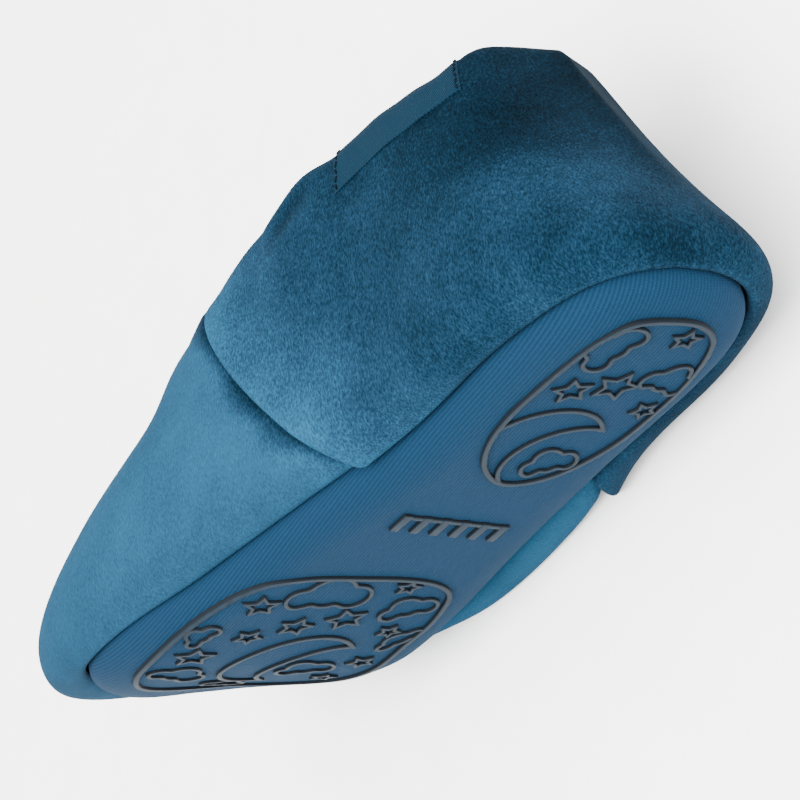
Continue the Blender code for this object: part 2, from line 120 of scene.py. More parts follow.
# along, half, out, belly and sag (each left and right), top, reach, sweep, bow, full
SECTIONS: tuple[Section, ...] = (
    Section(0.000, 0.0, 0.0, 4.4, 4.4, 8.5, 8.5, 0.0, 0.0, 60.8, 0.49, 30.0, 0.44, 2.0),
    Section(0.125, 17.6, 14.8, 5.4, 7.0, 8.5, 6.0, 0.0, 1.3, 67.0, 0.50, 30.0, 0.44, 2.0),
    Section(0.250, 23.6, 20.8, 6.9, 9.0, 9.5, 6.0, 0.0, 1.3, 69.0, 0.28, 36.0, 0.70, 2.0),
    Section(0.375, 24.0, 22.4, 5.4, 8.0, 10.0, 5.0, 0.0, 1.3, 68.5, 0.06, 45.0, 1.00, 2.0),
    Section(0.470, 28.6, 24.6, 5.0, 11.4, 10.0, 4.0, 0.0, 2.8, 66.8, 0.14, 50.0, 1.00, 2.0),
    Section(0.575, 33.4, 28.6, 5.0, 9.6, 10.0, 4.0, 0.0, 2.4, 65.0, 1.00, 90.0, 1.00, 2.3),
    Section(0.660, 36.6, 30.4, 3.4, 4.3, 11.0, 5.0, 0.0, 0.4, 58.6, 1.00, 90.0, 1.00, 2.3),
    Section(0.750, 33.8, 29.0, 4.6, 6.8, 11.0, 8.0, 0.6, 0.4, 50.2, 1.00, 90.0, 1.00, 2.3),
    Section(0.875, 19.5, 14.6, 13.0, 10.8, 8.5, 9.5, 2.0, -0.4, 43.6, 1.00, 90.0, 1.00, 2.1),
    Section(0.938, 10.3, 7.5, 16.6, 16.6, 7.4, 8.2, 1.2, -0.2, 42.1, 1.00, 90.0, 1.00, 2.0),
    Section(1.000, 0.0, 0.0, 18.4, 18.4, 6.5, 6.5, 0.2, 0.2, 41.6, 1.00, 90.0, 1.00, 2.0),
)


def step(value: Points, start: float, end: float) -> Points:
    """Smooth step from 0 at start to 1 at end, which may lie above or below it."""
    t = np.clip((value - start) / (end - start), 0.0, 1.0)
    return t * t * (3 - 2 * t)


def bell(value: Points, width: Any) -> Points:
    """Soft swell, 1 at zero, that dies away over a width."""
    return np.exp(-((value / width) ** 2))


def unit(vectors: Points) -> Points:
    """Vectors at length 1, with zero ones as they are."""
    length = np.linalg.norm(vectors, axis=-1)
    return vectors / np.where(length > 0, length, 1.0)[..., None]


@dataclass(frozen=True)
class Puff:
    """A swell of the padded top line: its place along the shoe, its rise and its length."""

    x: float
    rise: float
    length: float


@dataclass
class Form:
    """Shape of the slipper as it stands, in millimetres, and in shares of the half loop and the wall."""

    sole_length: float = 195.0
    seam: float = 6.0
    band: float = 1.8
    gap: float = 0.3
    edge_round: float = 10.0
    spring_start: float = 115.0
    toe_spring: float = 9.6
    roll_deg: float = 10.5
    roll_start: float = 138.0
    roll_end: float = 190.0
    roll_axis: float = 36.0
    roll_ease: float = 6.0
    heel_pole: float = 42.0
    toe_pole: float = 160.0
    roll_share: float = 0.26
    throat: float = 0.575
    throat_start: float = 0.47
    quarter_top: float = 0.538
    quarter_foot_left: float = 0.413
    quarter_foot_right: float = 0.395
    quarter_bend: float = 1.45
    puff_start: float = 0.5
    puffs: tuple[Puff, ...] = (
        Puff(26.0, 2.9, 5.5),
        Puff(54.0, 1.9, 16.0),
        Puff(73.0, 2.8, 8.0),
        Puff(88.0, 2.0, 14.0),
    )

    def size(self, name: str, along: Points, side: Side | None = None) -> Points:
        """One section size, on a cubic curve through the table.

        Args:
            name: the size's field in Section, without its side.
            along: shares of the half loop.
            side: side of the slipper, for a size that each side has.

        Returns:
            The size at those shares.
        """
        column = name if side is None else f"{name}_{side.name.lower()}"
        stations = np.array([row.along for row in SECTIONS])
        values = np.array([getattr(row, column) for row in SECTIONS])
        slopes = np.gradient(values, stations, edge_order=2)
        where = np.clip(along, 0.0, 1.0)
        row = np.clip(np.searchsorted(stations, where, side="right") - 1, 0, len(stations) - 2)
        span = stations[row + 1] - stations[row]
        t = (where - stations[row]) / span
        rise = values[row] * (2 * t**3 - 3 * t**2 + 1) + values[row + 1] * (3 * t**2 - 2 * t**3)
        return rise + span * (slopes[row] * (t**3 - 2 * t**2 + t) + slopes[row + 1] * (t**3 - t**2))

    def tread(self, x: Points, y: Points) -> Points:
        """Height of the sole's underside, with its toe spring and the forefoot's roll.

        Args:
            x: places along the shoe.
            y: places across it.

        Returns:
            Heights over the tread plane.
        """
        ahead = np.clip((x - self.spring_start) / (self.sole_length - self.spring_start), 0.0, 1.0)
        slope = math.tan(math.radians(self.roll_deg)) * step(x, self.roll_start, self.roll_end)
        reach = np.maximum(0.0, self.roll_axis - np.maximum(y, 0.0))
        reach = reach + self.roll_ease * (1 - np.exp(np.minimum(y, 0.0) / self.roll_ease))
        return self.toe_spring * ahead**2 + slope * reach

    def edge_x(self, along: Points) -> Points:
        """Place along the shoe of a share of the half loop."""
        return self.sole_length * (1 - np.cos(math.pi * along)) / 2

    def share_at(self, x: Points) -> Points:
        """Share of the half loop at a place along the shoe."""
        return np.arccos(np.clip(1 - 2 * x / self.sole_length, -1.0, 1.0)) / math.pi

    def edge(self, side: Side, along: Points) -> Points:
        """Seam line of the sole in plan."""
        half = np.maximum(self.size("half", along, side), 0.0)
        return np.stack([self.edge_x(along), side.value * half], axis=-1)

    def outward(self, side: Side, along: Points) -> tuple[Points, Points]:
        """Plan direction from the centre line out through the seam.

        Args:
            side: side of the slipper.
            along: shares of the half loop.

        Returns:
            Unit directions, and the distance from centre line to seam.
        """
        seam = self.edge(side, along)
        centre = np.stack([np.clip(seam[..., 0], self.heel_pole, self.toe_pole), 0 * along], axis=-1)
        away = seam - centre
        span = np.linalg.norm(away, axis=-1)
        return away / span[..., None], span

    def reach_in(self, along: Points) -> Points:
        """Share of the way in to the centre line at the upper's top.

        Args:
            along: shares of the half loop.

        Returns:
            The table's shares beside the opening, rounded in to 1 at the throat.
        """
        sides = self.size("reach", np.minimum(along, self.throat_start))
        turn = np.clip((along - self.throat_start) / (self.throat - self.throat_start), 0.0, 1.0)
        return sides + (1 - sides) * (1 - np.sqrt(1 - turn**2))

    def wall(self, side: Side, along: Points, up: Points) -> Points:
        """Plain outer face of the upper.

        Args:
            side: side of the slipper.
            along: shares of the half loop.
            up: 0 at the seam to 1 at the collar or the vamp's ridge.

        Returns:
            Points in millimetres.
        """
        seam = self.edge(side, along)
        direction, span = self.outward(side, along)
        base = self.seam + self.tread(seam[..., 0], seam[..., 1])
        bulge, belly, sag = (self.size(name, along, side) for name in ("out", "belly", "sag"))
        roll = np.clip(up / self.roll_share, 0.0, 1.0) * math.pi / 2
        rise = np.clip((up - self.roll_share) / (1 - self.roll_share), 0.0, 1.0)
        sweep = np.radians(np.where(along >= self.throat, 90.0, self.size("sweep", along)))
        power = 2 / self.size("full", along)
        angle = rise * sweep
        inward = (1 - np.cos(angle) ** power) / (1 - np.maximum(np.cos(sweep), 0.0) ** power)
        inward = inward ** self.size("bow", along)
        raised = (np.sin(angle) / np.sin(sweep)) ** power
        offset = bulge * np.sin(roll) - inward * (bulge + self.reach_in(along) * span)
        plan = seam + direction * offset[..., None]
        x = plan[..., 0]
        height = base + belly * (1 - np.cos(roll)) - sag * np.sin(2 * roll)
        height = height + raised * (self.size("top", self.share_at(x)) - base - belly)
        swell = sum(puff.rise * bell(x - puff.x, puff.length) for puff in self.puffs)
        height = height + swell * step(up, self.puff_start, 1.0)
        return np.concatenate([plan, height[..., None]], axis=-1)

    def quarter_edge(self, side: Side, up: Points) -> Points:
        """Share of the half loop where the heel panel's front edge lies."""
        foot = self.quarter_foot_left if side is Side.LEFT else self.quarter_foot_right
        return foot + (self.quarter_top - foot) * np.sin(up * math.pi / 2) ** self.quarter_bend

    def ahead_of_panel(self, side: Side, along: Points, up: Points) -> Points:
        """Distance ahead of the heel panel's front edge, in millimetres."""
        return self.edge_x(along) - self.edge_x(self.quarter_edge(side, up))

    def sole_point(self, side: Side, along: Points, spread: float, rise: float, above: float) -> Points:
        """Points of the sole's rounded edge.

        Args:
            side: side of the slipper.
            along: shares of the half loop.
            spread: 0 at the seam to 1 where the tread's flat starts.
            rise: share of the way up from tread to seam.
            above: height over that, in millimetres.

        Returns:
            Points in millimetres.
        """
        direction, _ = self.outward(side, along)
        plan = self.edge(side, along) - direction * (self.gap + spread * self.edge_round)
        height = self.tread(plan[..., 0], plan[..., 1]) + rise * self.seam + above
        return np.concatenate([plan, height[..., None]], axis=-1)

    def underside(self, x: Points, y: Points) -> Points:
        """Height of the sole's lower face at a place in plan.

        Args:
            x: places along the shoe.
            y: places across it.

        Returns:
            Heights over the tread plane.
        """
        left, right = (self.size("half", self.share_at(x), side) for side in Side)
        inset = np.where(y >= 0, left, right) - np.abs(y) - self.gap
        near = np.clip(1 - inset / self.edge_round, 0.0, 1.0)
        return self.tread(x, y) + self.seam * (1 - np.sqrt(1 - near**2))


@dataclass
class Lay:
    """Turn and place of the lying slipper in the row frame."""

    form: Form
    skew_deg: float = 3.5
    floor: float = 0.0
    shift: Points = field(default_factory=lambda: np.zeros(3))

    def __post_init__(self) -> None:
        """Sets the sole's heel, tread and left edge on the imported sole's."""
        along = np.linspace(0.0, 1.0, 41)
        rings = [self.form.sole_point(side, along, 0.0, 1.0, self.form.band) for side in Side]
        rings += [self.form.sole_point(side, along, 1.0, 0.0, 0.0) for side in Side]
        places = np.concatenate(rings) @ self.turn.T * MM
        low, high = (np.array(corner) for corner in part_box("outsole"))
        heel, left, tread = places[:, 0].max(), places[:, 2].max(), places[:, 1].min()
        self.shift = np.array([high[0] - heel, low[1] - tread, high[2] - left])

    @property
    def turn(self) -> Points:
        """Rotation from the standing slipper to the lying one.

        Returns:
            A matrix of three rows.
        """
        c = math.cos(math.radians(self.skew_deg))
        s = math.sin(math.radians(self.skew_deg))
        return np.array([[-c, s, 0.0], [0.0, 0.0, 1.0], [s, c, 0.0]])

    def place(self, points: Points) -> Points:
        """Points of the standing slipper in the row frame.

        Args:
            points: places in millimetres.

        Returns:
            Places in metres, kept off the floor.
        """
        placed = points @ self.turn.T * MM + self.shift
        placed[..., 2] = np.maximum(placed[..., 2], self.floor)
        return placed

    def direction(self, vector: Sequence[float]) -> Vector:
        """A direction of the standing slipper in the row frame."""
        return Vector(self.turn @ np.array(vector, float))


class Bench:
    """Mesh work with Blender's own operators."""

    @staticmethod
    def clear() -> None:
        """Leaves object mode with nothing selected."""
        if bpy.context.object is not None and bpy.context.object.mode != "OBJECT":
            bpy.ops.object.mode_set(mode="OBJECT")
        bpy.ops.object.select_all(action="DESELECT")

    @staticmethod
    def pick(*pieces: Piece) -> None:
        """Selects some pieces alone, the first one active.

        Args:
            pieces: the objects.
        """
        Bench.clear()
        for piece in pieces:
            piece.select_set(True)
        bpy.context.view_layer.objects.active = pieces[0]

    @staticmethod
    def sheet(name: str, points: Points, **masks: Points) -> Piece:
        """A grid primitive whose points are set in place.

        Args:
            name: the object's name.
            points: rows by columns of places in metres.
            masks: rows by columns of values or vectors that the finish reads.

        Returns:
            The new object.
        """
        rows, cols = points.shape[:2]
        Bench.clear()
        bpy.ops.mesh.primitive_grid_add(x_subdivisions=cols - 1, y_subdivisions=rows - 1, size=2.0)
        piece = bpy.context.object
        piece.name = name
        mesh = piece.data
        flat = np.empty(len(mesh.vertices) * 3)
        mesh.vertices.foreach_get("co", flat)
        flat = flat.reshape(-1, 3)
        col = np.rint((flat[:, 0] + 1) / 2 * (cols - 1)).astype(int)
        row = np.rint((flat[:, 1] + 1) / 2 * (rows - 1)).astype(int)
        mesh.vertices.foreach_set("co", points[row, col].astype(np.float32).ravel())
        for key, values in masks.items():
            kind, part = ("FLOAT", "value") if values.ndim == 2 else ("FLOAT_VECTOR", "vector")
            layer = mesh.attributes.new(key, kind, "POINT")
            layer.data.foreach_set(part, values[row, col].astype(np.float32).ravel())
        mesh.update()
        return piece

    @staticmethod
    def join(name: str, pieces: list[Piece]) -> Piece:
        """Joins pieces into one object.

        Args:
            name: the object's name.
            pieces: what is joined.

        Returns:
            The object.
        """
        Bench.pick(*pieces)
        bpy.ops.object.join()
        joined = bpy.context.object
        joined.name = name
        joined.data.name = name
        return joined

    @staticmethod
    def sew(piece: Piece, reach: float) -> None:
        """Merges points that lie together and turns the faces outwards.

        Args:
            piece: the object.
            reach: merging distance in metres.
        """
        Bench.pick(piece)
        bpy.ops.object.mode_set(mode="EDIT")
        bpy.ops.mesh.select_all(action="SELECT")
        bpy.ops.mesh.remove_doubles(threshold=reach)
        bpy.ops.mesh.dissolve_degenerate(threshold=reach / 4)
        bpy.ops.mesh.select_all(action="SELECT")
        bpy.ops.mesh.normals_make_consistent(inside=False)
        bpy.ops.object.mode_set(mode="OBJECT")

    @staticmethod
    def smooth(piece: Piece, angle_deg: float = 180.0) -> None:
        """Shades a piece smooth up to an angle."""
        Bench.pick(piece)
        bpy.ops.object.shade_smooth_by_angle(angle=math.radians(angle_deg))

    @staticmethod
    def close(name: str, pieces: list[Piece], reach: float, angle_deg: float = 180.0) -> Piece:
        """Joins sheets into one closed piece and shades it.

        Args:
            name: the piece's name.
            pieces: what is joined.
            reach: merging distance in metres.
            angle_deg: angle up to which it is shaded smooth.

        Returns:
            The piece.
        """
        piece = Bench.join(name, pieces)
        Bench.sew(piece, reach)
        Bench.smooth(piece, angle_deg)
        return piece

    @staticmethod
    def finish(piece: Piece, material: Material, slot: str, *nodes: str) -> None:
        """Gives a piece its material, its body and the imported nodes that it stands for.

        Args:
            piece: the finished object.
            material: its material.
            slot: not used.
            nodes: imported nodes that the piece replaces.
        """
        piece.data.materials.clear()
        piece.data.materials.append(material)
        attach(piece, "root")
        if nodes:
            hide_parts(*nodes)
        LOG.info("%s: %d faces", piece.name, len(piece.data.polygons))


def linear(code: str) -> tuple[float, float, float, float]:
    """Linear colour of an sRGB hex value.

    Args:
        code: six hex digits.

    Returns:
        Red, green, blue and alpha.
    """
    parts = [int(code[i : i + 2], 16) / 255 for i in (0, 2, 4)]
    r, g, b = (c / 12.92 if c <= 0.04045 else ((c + 0.055) / 1.055) ** 2.4 for c in parts)
    return (r, g, b, 1.0)


def connect(tree: Tree, node: Node, links: dict[Any, Any]) -> None:
    """Sets or links a node's inputs.

    Args:
        tree: the node tree.
        node: the node.
        links: input name or number to a value, to a node, or to a (node, output) pair.
    """
    for key, value in links.items():
        source = (value, 0) if isinstance(value, Node) else value
        if isinstance(source, tuple) and isinstance(source[0], Node):
            tree.links.new(source[0].outputs[source[1]], node.inputs[key])
        else:
            node.inputs[key].default_value = value


def add_node(tree: Tree, kind: str, links: dict[Any, Any], **settings: Any) -> Node:
    """Adds a shader node.

    Args:
        tree: the node tree.
        kind: Blender's node type, after ShaderNode.
        links: the node's inputs, as connect takes them.
        settings: the node's own properties; stops are a ramp's places and hex colours.

    Returns:
        The new node.
    """
    node = tree.nodes.new("ShaderNode" + kind)
    stops = settings.pop("stops", ())
    for name, value in settings.items():
        setattr(node, name, value)
    for number, (place, code) in enumerate(stops):
        elements = node.color_ramp.elements
        if number == 0:
            elements.remove(elements[1])
        element = elements.new(place) if number else elements[0]
        element.position = place
        element.color = linear(code)
    connect(tree, node, links)
    return node


def new_material(name: str) -> tuple[Material, Tree, Node]:
    """A node material and its shader.

    Args:
        name: the real material's name.

    Returns:
        The material, its tree and its Principled shader.
    """
    material = bpy.data.materials.new(name)
    material.use_nodes = True
    return material, material.node_tree, material.node_tree.nodes["Principled BSDF"]


def per_mm(size_mm: float) -> float:
    """Texture scale, per metre, of a pattern of a size in millimetres."""
    return 1.0 / (size_mm * MM)


def wave_per_mm(size_mm: float) -> float:
    """Wave texture scale of bands a size apart: a wave's period is 2 pi over 20 times its scale."""
    return per_mm(size_mm) * math.pi / 10


@dataclass(frozen=True)
class Velour:
    """Polyester velour with a short cut pile: matt, brushed into soft light and dark patches, with painted
    highlight and shade.

    The pile and its tufts are drawn a little coarser than the real ones, so that they show.
    """

    tones: tuple[str, str, str, str] = ("01070d", "05141f", "112535", "1a4057")
    stops: tuple[float, float, float, float] = (0.0, 0.3, 0.6, 1.0)
    inside: str = "0a2231"
    glow: str = "7fb6d2"
    patch_mm: float = 15.0
    tuft_mm: float = 1.3
    pile_mm: float = 0.36
    weights: tuple[float, float, float] = (0.48, 0.12, 0.95)
    lean: float = 0.4

    def material(self) -> Material:
        """Builds the material, which reads the tone mask (nap with painted highlight and shade), and the
        nap and lining masks.

        Returns:
            The material.
        """
        material, tree, shader = new_material("polyester velour")
        place = (add_node(tree, "TexCoord", {}), "Object")
        leaning = add_node(tree, "Mapping", {"Vector": place, "Scale": (1.0, self.lean, 1.0)})
        rows = ((place, self.patch_mm, 4.0), (leaning, self.tuft_mm, 2.0), (leaning, self.pile_mm, 2.0))
        noises = []
        for source, size, detail in rows:
            pattern = {"Vector": source, "Scale": per_mm(size), "Detail": detail, "Roughness": 0.6}
            noises.append(add_node(tree, "TexNoise", pattern))
        # the tone mask read here is the brushed nap with painted highlight and painted shade added
        brushed, nap, lining = (
            (add_node(tree, "Attribute", {}, attribute_name=mask), "Fac")
            for mask in ("tone", "nap", "lining")
        )
        grain: Any = 0.0
        for noise, weight in zip(noises, self.weights):
            level = add_node(tree, "Math", {0: noise, 1: 0.5}, operation="SUBTRACT")
            grain = add_node(tree, "Math", {0: level, 1: weight, 2: grain}, operation="MULTIPLY_ADD")
        tone = add_node(tree, "Math", {0: grain, 1: nap, 2: brushed}, operation="MULTIPLY_ADD")
        pile = add_node(tree, "ValToRGB", {0: tone}, stops=tuple(zip(self.stops, self.tones)))
        whole = add_node(tree, "Mix", {0: lining, 6: pile, 7: linear(self.inside)}, data_type="RGBA")
        fuzz = add_node(tree, "Math", {0: noises[1], 1: 0.8, 2: noises[2]}, operation="MULTIPLY_ADD")
        bump = add_node(tree, "Bump", {"Height": fuzz, "Strength": 0.5, "Distance": 0.2 * MM})
        finish = {
            "Base Color": (whole, 2),
            "Normal": bump,
            "Roughness": 1.0,
            "Specular IOR Level": 0.02,
            "Sheen Weight": 0.012,
            "Sheen Roughness": 0.4,
            "Sheen Tint": linear(self.glow),
        }
        connect(tree, shader, finish)
        return material


@dataclass(frozen=True)
class Jersey:
    """Fine single jersey over foam: matt, ribbed by its wales along the shoe, with a faint violet cast."""

    colours: tuple[str, str, str] = ("081a24", "0b2033", "10283c")
    cast: str = "132038"
    glow: str = "7fb0cf"
    wale_mm: float = 0.75
    course_mm: float = 0.46
    yarn_mm: float = 0.7
    cloud_mm: float = 26.0
    turn_deg: float = 5.0

    def material(self, name: str) -> Material:
        """Builds the material on the cloth's unrolled places.

        Args:
            name: name for this use of the cloth.

        Returns:
            The material.
        """
        material, tree, shader = new_material(name)
        cloth = (add_node(tree, "Attribute", {}, attribute_name="cloth"), "Vector")
        turn = (0.0, 0.0, math.radians(self.turn_deg))
        turned = add_node(tree, "Mapping", {"Vector": cloth, "Rotation": turn})
        ribs = []
        for size, way in ((self.wale_mm, "Y"), (self.course_mm, "X")):
            pattern = {"Vector": turned, "Scale": wave_per_mm(size)}
            ribs.append((add_node(tree, "TexWave", pattern, bands_direction=way), "Fac"))
        wale, course = ribs
        yarn, cloud = (
            add_node(tree, "TexNoise", {"Vector": cloth, "Scale": per_mm(size), "Detail": 2.0})
            for size in (self.yarn_mm, self.cloud_mm)
        )
        loops = add_node(tree, "Math", {0: course, 1: 0.45, 2: wale}, operation="MULTIPLY_ADD")
        rough = add_node(tree, "Math", {0: yarn, 1: 0.9, 2: loops}, operation="MULTIPLY_ADD")
        tone = add_node(tree, "MapRange", {"Value": rough, "From Min": 0.1, "From Max": 2.2})
        base = add_node(tree, "ValToRGB", {0: tone}, stops=tuple(zip((0.0, 0.5, 1.0), self.colours)))
        fall = {"Value": cloud, "From Min": 0.5, "From Max": 0.75, "To Min": 0.0, "To Max": 0.12}
        share = add_node(tree, "MapRange", fall)
        tinted = add_node(tree, "Mix", {0: share, 6: base, 7: linear(self.cast)}, data_type="RGBA")
        bump = add_node(tree, "Bump", {"Height": rough, "Strength": 0.45, "Distance": 0.14 * MM})
        finish = {
            "Base Color": (tinted, 2),
            "Normal": bump,
            "Roughness": 0.85,
            "Specular IOR Level": 0.03,
            "Sheen Weight": 0.02,
            "Sheen Roughness": 0.5,
            "Sheen Tint": linear(self.glow),
        }
        connect(tree, shader, finish)
        return material


@dataclass(frozen=True)
class Rubber:
    """Printed silicone rubber: walls painted dark navy as shade and slate tops, satin, a little dusty."""

    # painted shade: the walls are coloured dark as if in shadow
    walls: str = "050b11"
    tops: tuple[str, str] = ("0d171f", "15212b")
    dust_mm: float = 2.5
    grain_mm: float = 0.35

    def material(self) -> Material:
        """Builds the material, which reads the top mask and paints shade on the walls.

        Returns:
            The material.
        """
        material, tree, shader = new_material("silicone rubber")
        place = (add_node(tree, "TexCoord", {}), "Object")
        dust, grain = (
            add_node(tree, "TexNoise", {"Vector": place, "Scale": per_mm(size), "Detail": detail})
            for size, detail in ((self.dust_mm, 4.0), (self.grain_mm, 2.0))
        )
        slate = add_node(tree, "ValToRGB", {0: dust}, stops=tuple(zip((0.3, 0.7), self.tops)))
        top = (add_node(tree, "Attribute", {}, attribute_name="top"), "Fac")
        # painted shade on the walls, slate on the tops
        colour = add_node(tree, "Mix", {0: top, 6: linear(self.walls), 7: slate}, data_type="RGBA")
        rough = add_node(tree, "MapRange", {"Value": dust, "To Min": 0.55, "To Max": 0.75})
        bump = add_node(tree, "Bump", {"Height": grain, "Strength": 0.2, "Distance": 0.05 * MM})
        finish = {"Base Color": (colour, 2), "Normal": bump, "Roughness": rough, "Specular IOR Level": 0.08}
        connect(tree, shader, finish)
        return material


@dataclass(frozen=True)
class Ribbon:
    """Woven polyester twill ribbon: dark teal, fine slanted ribs with a slight lustre."""

    colours: tuple[str, str] = ("030d16", "0a202e")
    rib_mm: float = 0.6
    rib_deg: float = 38.0
    yarn_mm: float = 0.5

    def material(self) -> Material:
        """Builds the material.

        Returns:
            The material.
        """
        material, tree, shader = new_material("twill ribbon")
        place = (add_node(tree, "TexCoord", {}), "Object")
        turn = (0.0, 0.0, math.radians(self.rib_deg))
        turned = add_node(tree, "Mapping", {"Vector": place, "Rotation": turn})
        pattern = {"Vector": turned, "Scale": wave_per_mm(self.rib_mm)}
        rib = (add_node(tree, "TexWave", pattern, bands_direction="X"), "Fac")
        yarn = add_node(tree, "TexNoise", {"Vector": place, "Scale": per_mm(self.yarn_mm), "Detail": 2.0})
        twill = add_node(tree, "Math", {0: yarn, 1: 0.6, 2: rib}, operation="MULTIPLY_ADD")
        colour = add_node(tree, "ValToRGB", {0: twill}, stops=tuple(zip((0.2, 1.0), self.colours)))
        bump = add_node(tree, "Bump", {"Height": twill, "Strength": 0.5, "Distance": 0.1 * MM})
        finish = {"Base Color": colour, "Normal": bump, "Roughness": 0.8, "Specular IOR Level": 0.03}
        connect(tree, shader, finish)
        return material


@dataclass(frozen=True)
class Thread:
    """Twisted sewing thread: near black, matt."""

    colours: tuple[str, str] = ("02070b", "061018")
    ply_mm: float = 0.3

    def material(self) -> Material:
        """Builds the material.

        Returns:
            The material.
        """
        material, tree, shader = new_material("sewing thread")
        place = (add_node(tree, "TexCoord", {}), "Object")
        ply = add_node(tree, "TexNoise", {"Vector": place, "Scale": per_mm(self.ply_mm), "Detail": 1.0})
        colour = add_node(tree, "ValToRGB", {0: ply}, stops=tuple(zip((0.35, 0.65), self.colours)))
        connect(tree, shader, {"Base Color": colour, "Roughness": 0.9, "Specular IOR Level": 0.03})
        return material


@dataclass(frozen=True)
class Paper:
    """Matt white paper: even, with faint fibres."""

    colours: tuple[str, str] = ("f4f4f3", "f8f8f7")
    fibre_mm: float = 1000.0 / 60.0

    def material(self) -> Material:
        """Builds the material.

        Returns:
            The material.
        """
        material, tree, shader = new_material("matt white paper")
        place = (add_node(tree, "TexCoord", {}), "Object")
        fibre = add_node(tree, "TexNoise", {"Vector": place, "Scale": per_mm(self.fibre_mm), "Detail": 3.0})
        colour = add_node(tree, "ValToRGB", {0: fibre}, stops=tuple(zip((0.3, 0.7), self.colours)))
        connect(tree, shader, {"Base Color": colour, "Roughness": 0.9})
        return material


@dataclass(frozen=True)
class Dent:
    """A soft trough (or, with a negative depth, a swell) in the velour.

    Its length lies level along the wall, whose plan direction there is face_deg from the toe, and
    turn_deg lifts it; darker is how much painted shade dims the pile's tone in it, painted highlight
    below zero. Past reach off that face it has no effect, so that it stays on its own side of the shoe.
    """

    at: tuple[float, float, float]
    length: float
    width: float
    face_deg: float
    turn_deg: float
    depth: float
    # painted shade in the dent, painted highlight below zero
    darker: float
    reach: float = 14.0

    def share(self, points: Points) -> Points:
        """Strength of the dent at some points.

        Args:
            points: places in millimetres.

        Returns:
            Shares, 1 in the dent's middle.
        """
        away = points - np.array(self.at)
        face, turn = math.radians(self.face_deg), math.radians(self.turn_deg)
        level = away[..., 0] * math.cos(face) + away[..., 1] * math.sin(face)
        off = away[..., 0] * math.sin(face) - away[..., 1] * math.cos(face)
        lengthwise = level * math.cos(turn) + away[..., 2] * math.sin(turn)
        across = away[..., 2] * math.cos(turn) - level * math.sin(turn)
        return bell(lengthwise, self.length) * bell(across, self.width) * bell(off, self.reach)


@dataclass(frozen=True)
class LightStroke:
    """A stroke over the heel panel that makes it lighter, or darker below zero: painted highlight and
    painted shade, partly the pile's own nap.

    It comes in from the first to the second value of each range, up the wall and along the shoe,
    and dies away over its width beside the centre line.
    """

    lighter: float
    up: tuple[float, float]
    x: tuple[float, float]
    width: float = math.inf

    def stroke(self, points: Points, up: Points) -> Points:
        """Change of tone, painted light and shade with some nap, at some points and shares up the wall."""
        beside = bell(points[..., 1], self.width)
        return self.lighter * step(up, *self.up) * step(points[..., 0], *self.x) * beside


@dataclass(frozen=True)
class ShadowPatch:
    """A wider patch of the painted crease shadow ahead of the panel: its share up the wall, spread and
    size.
    """

    up: float
    spread: float
    size: float


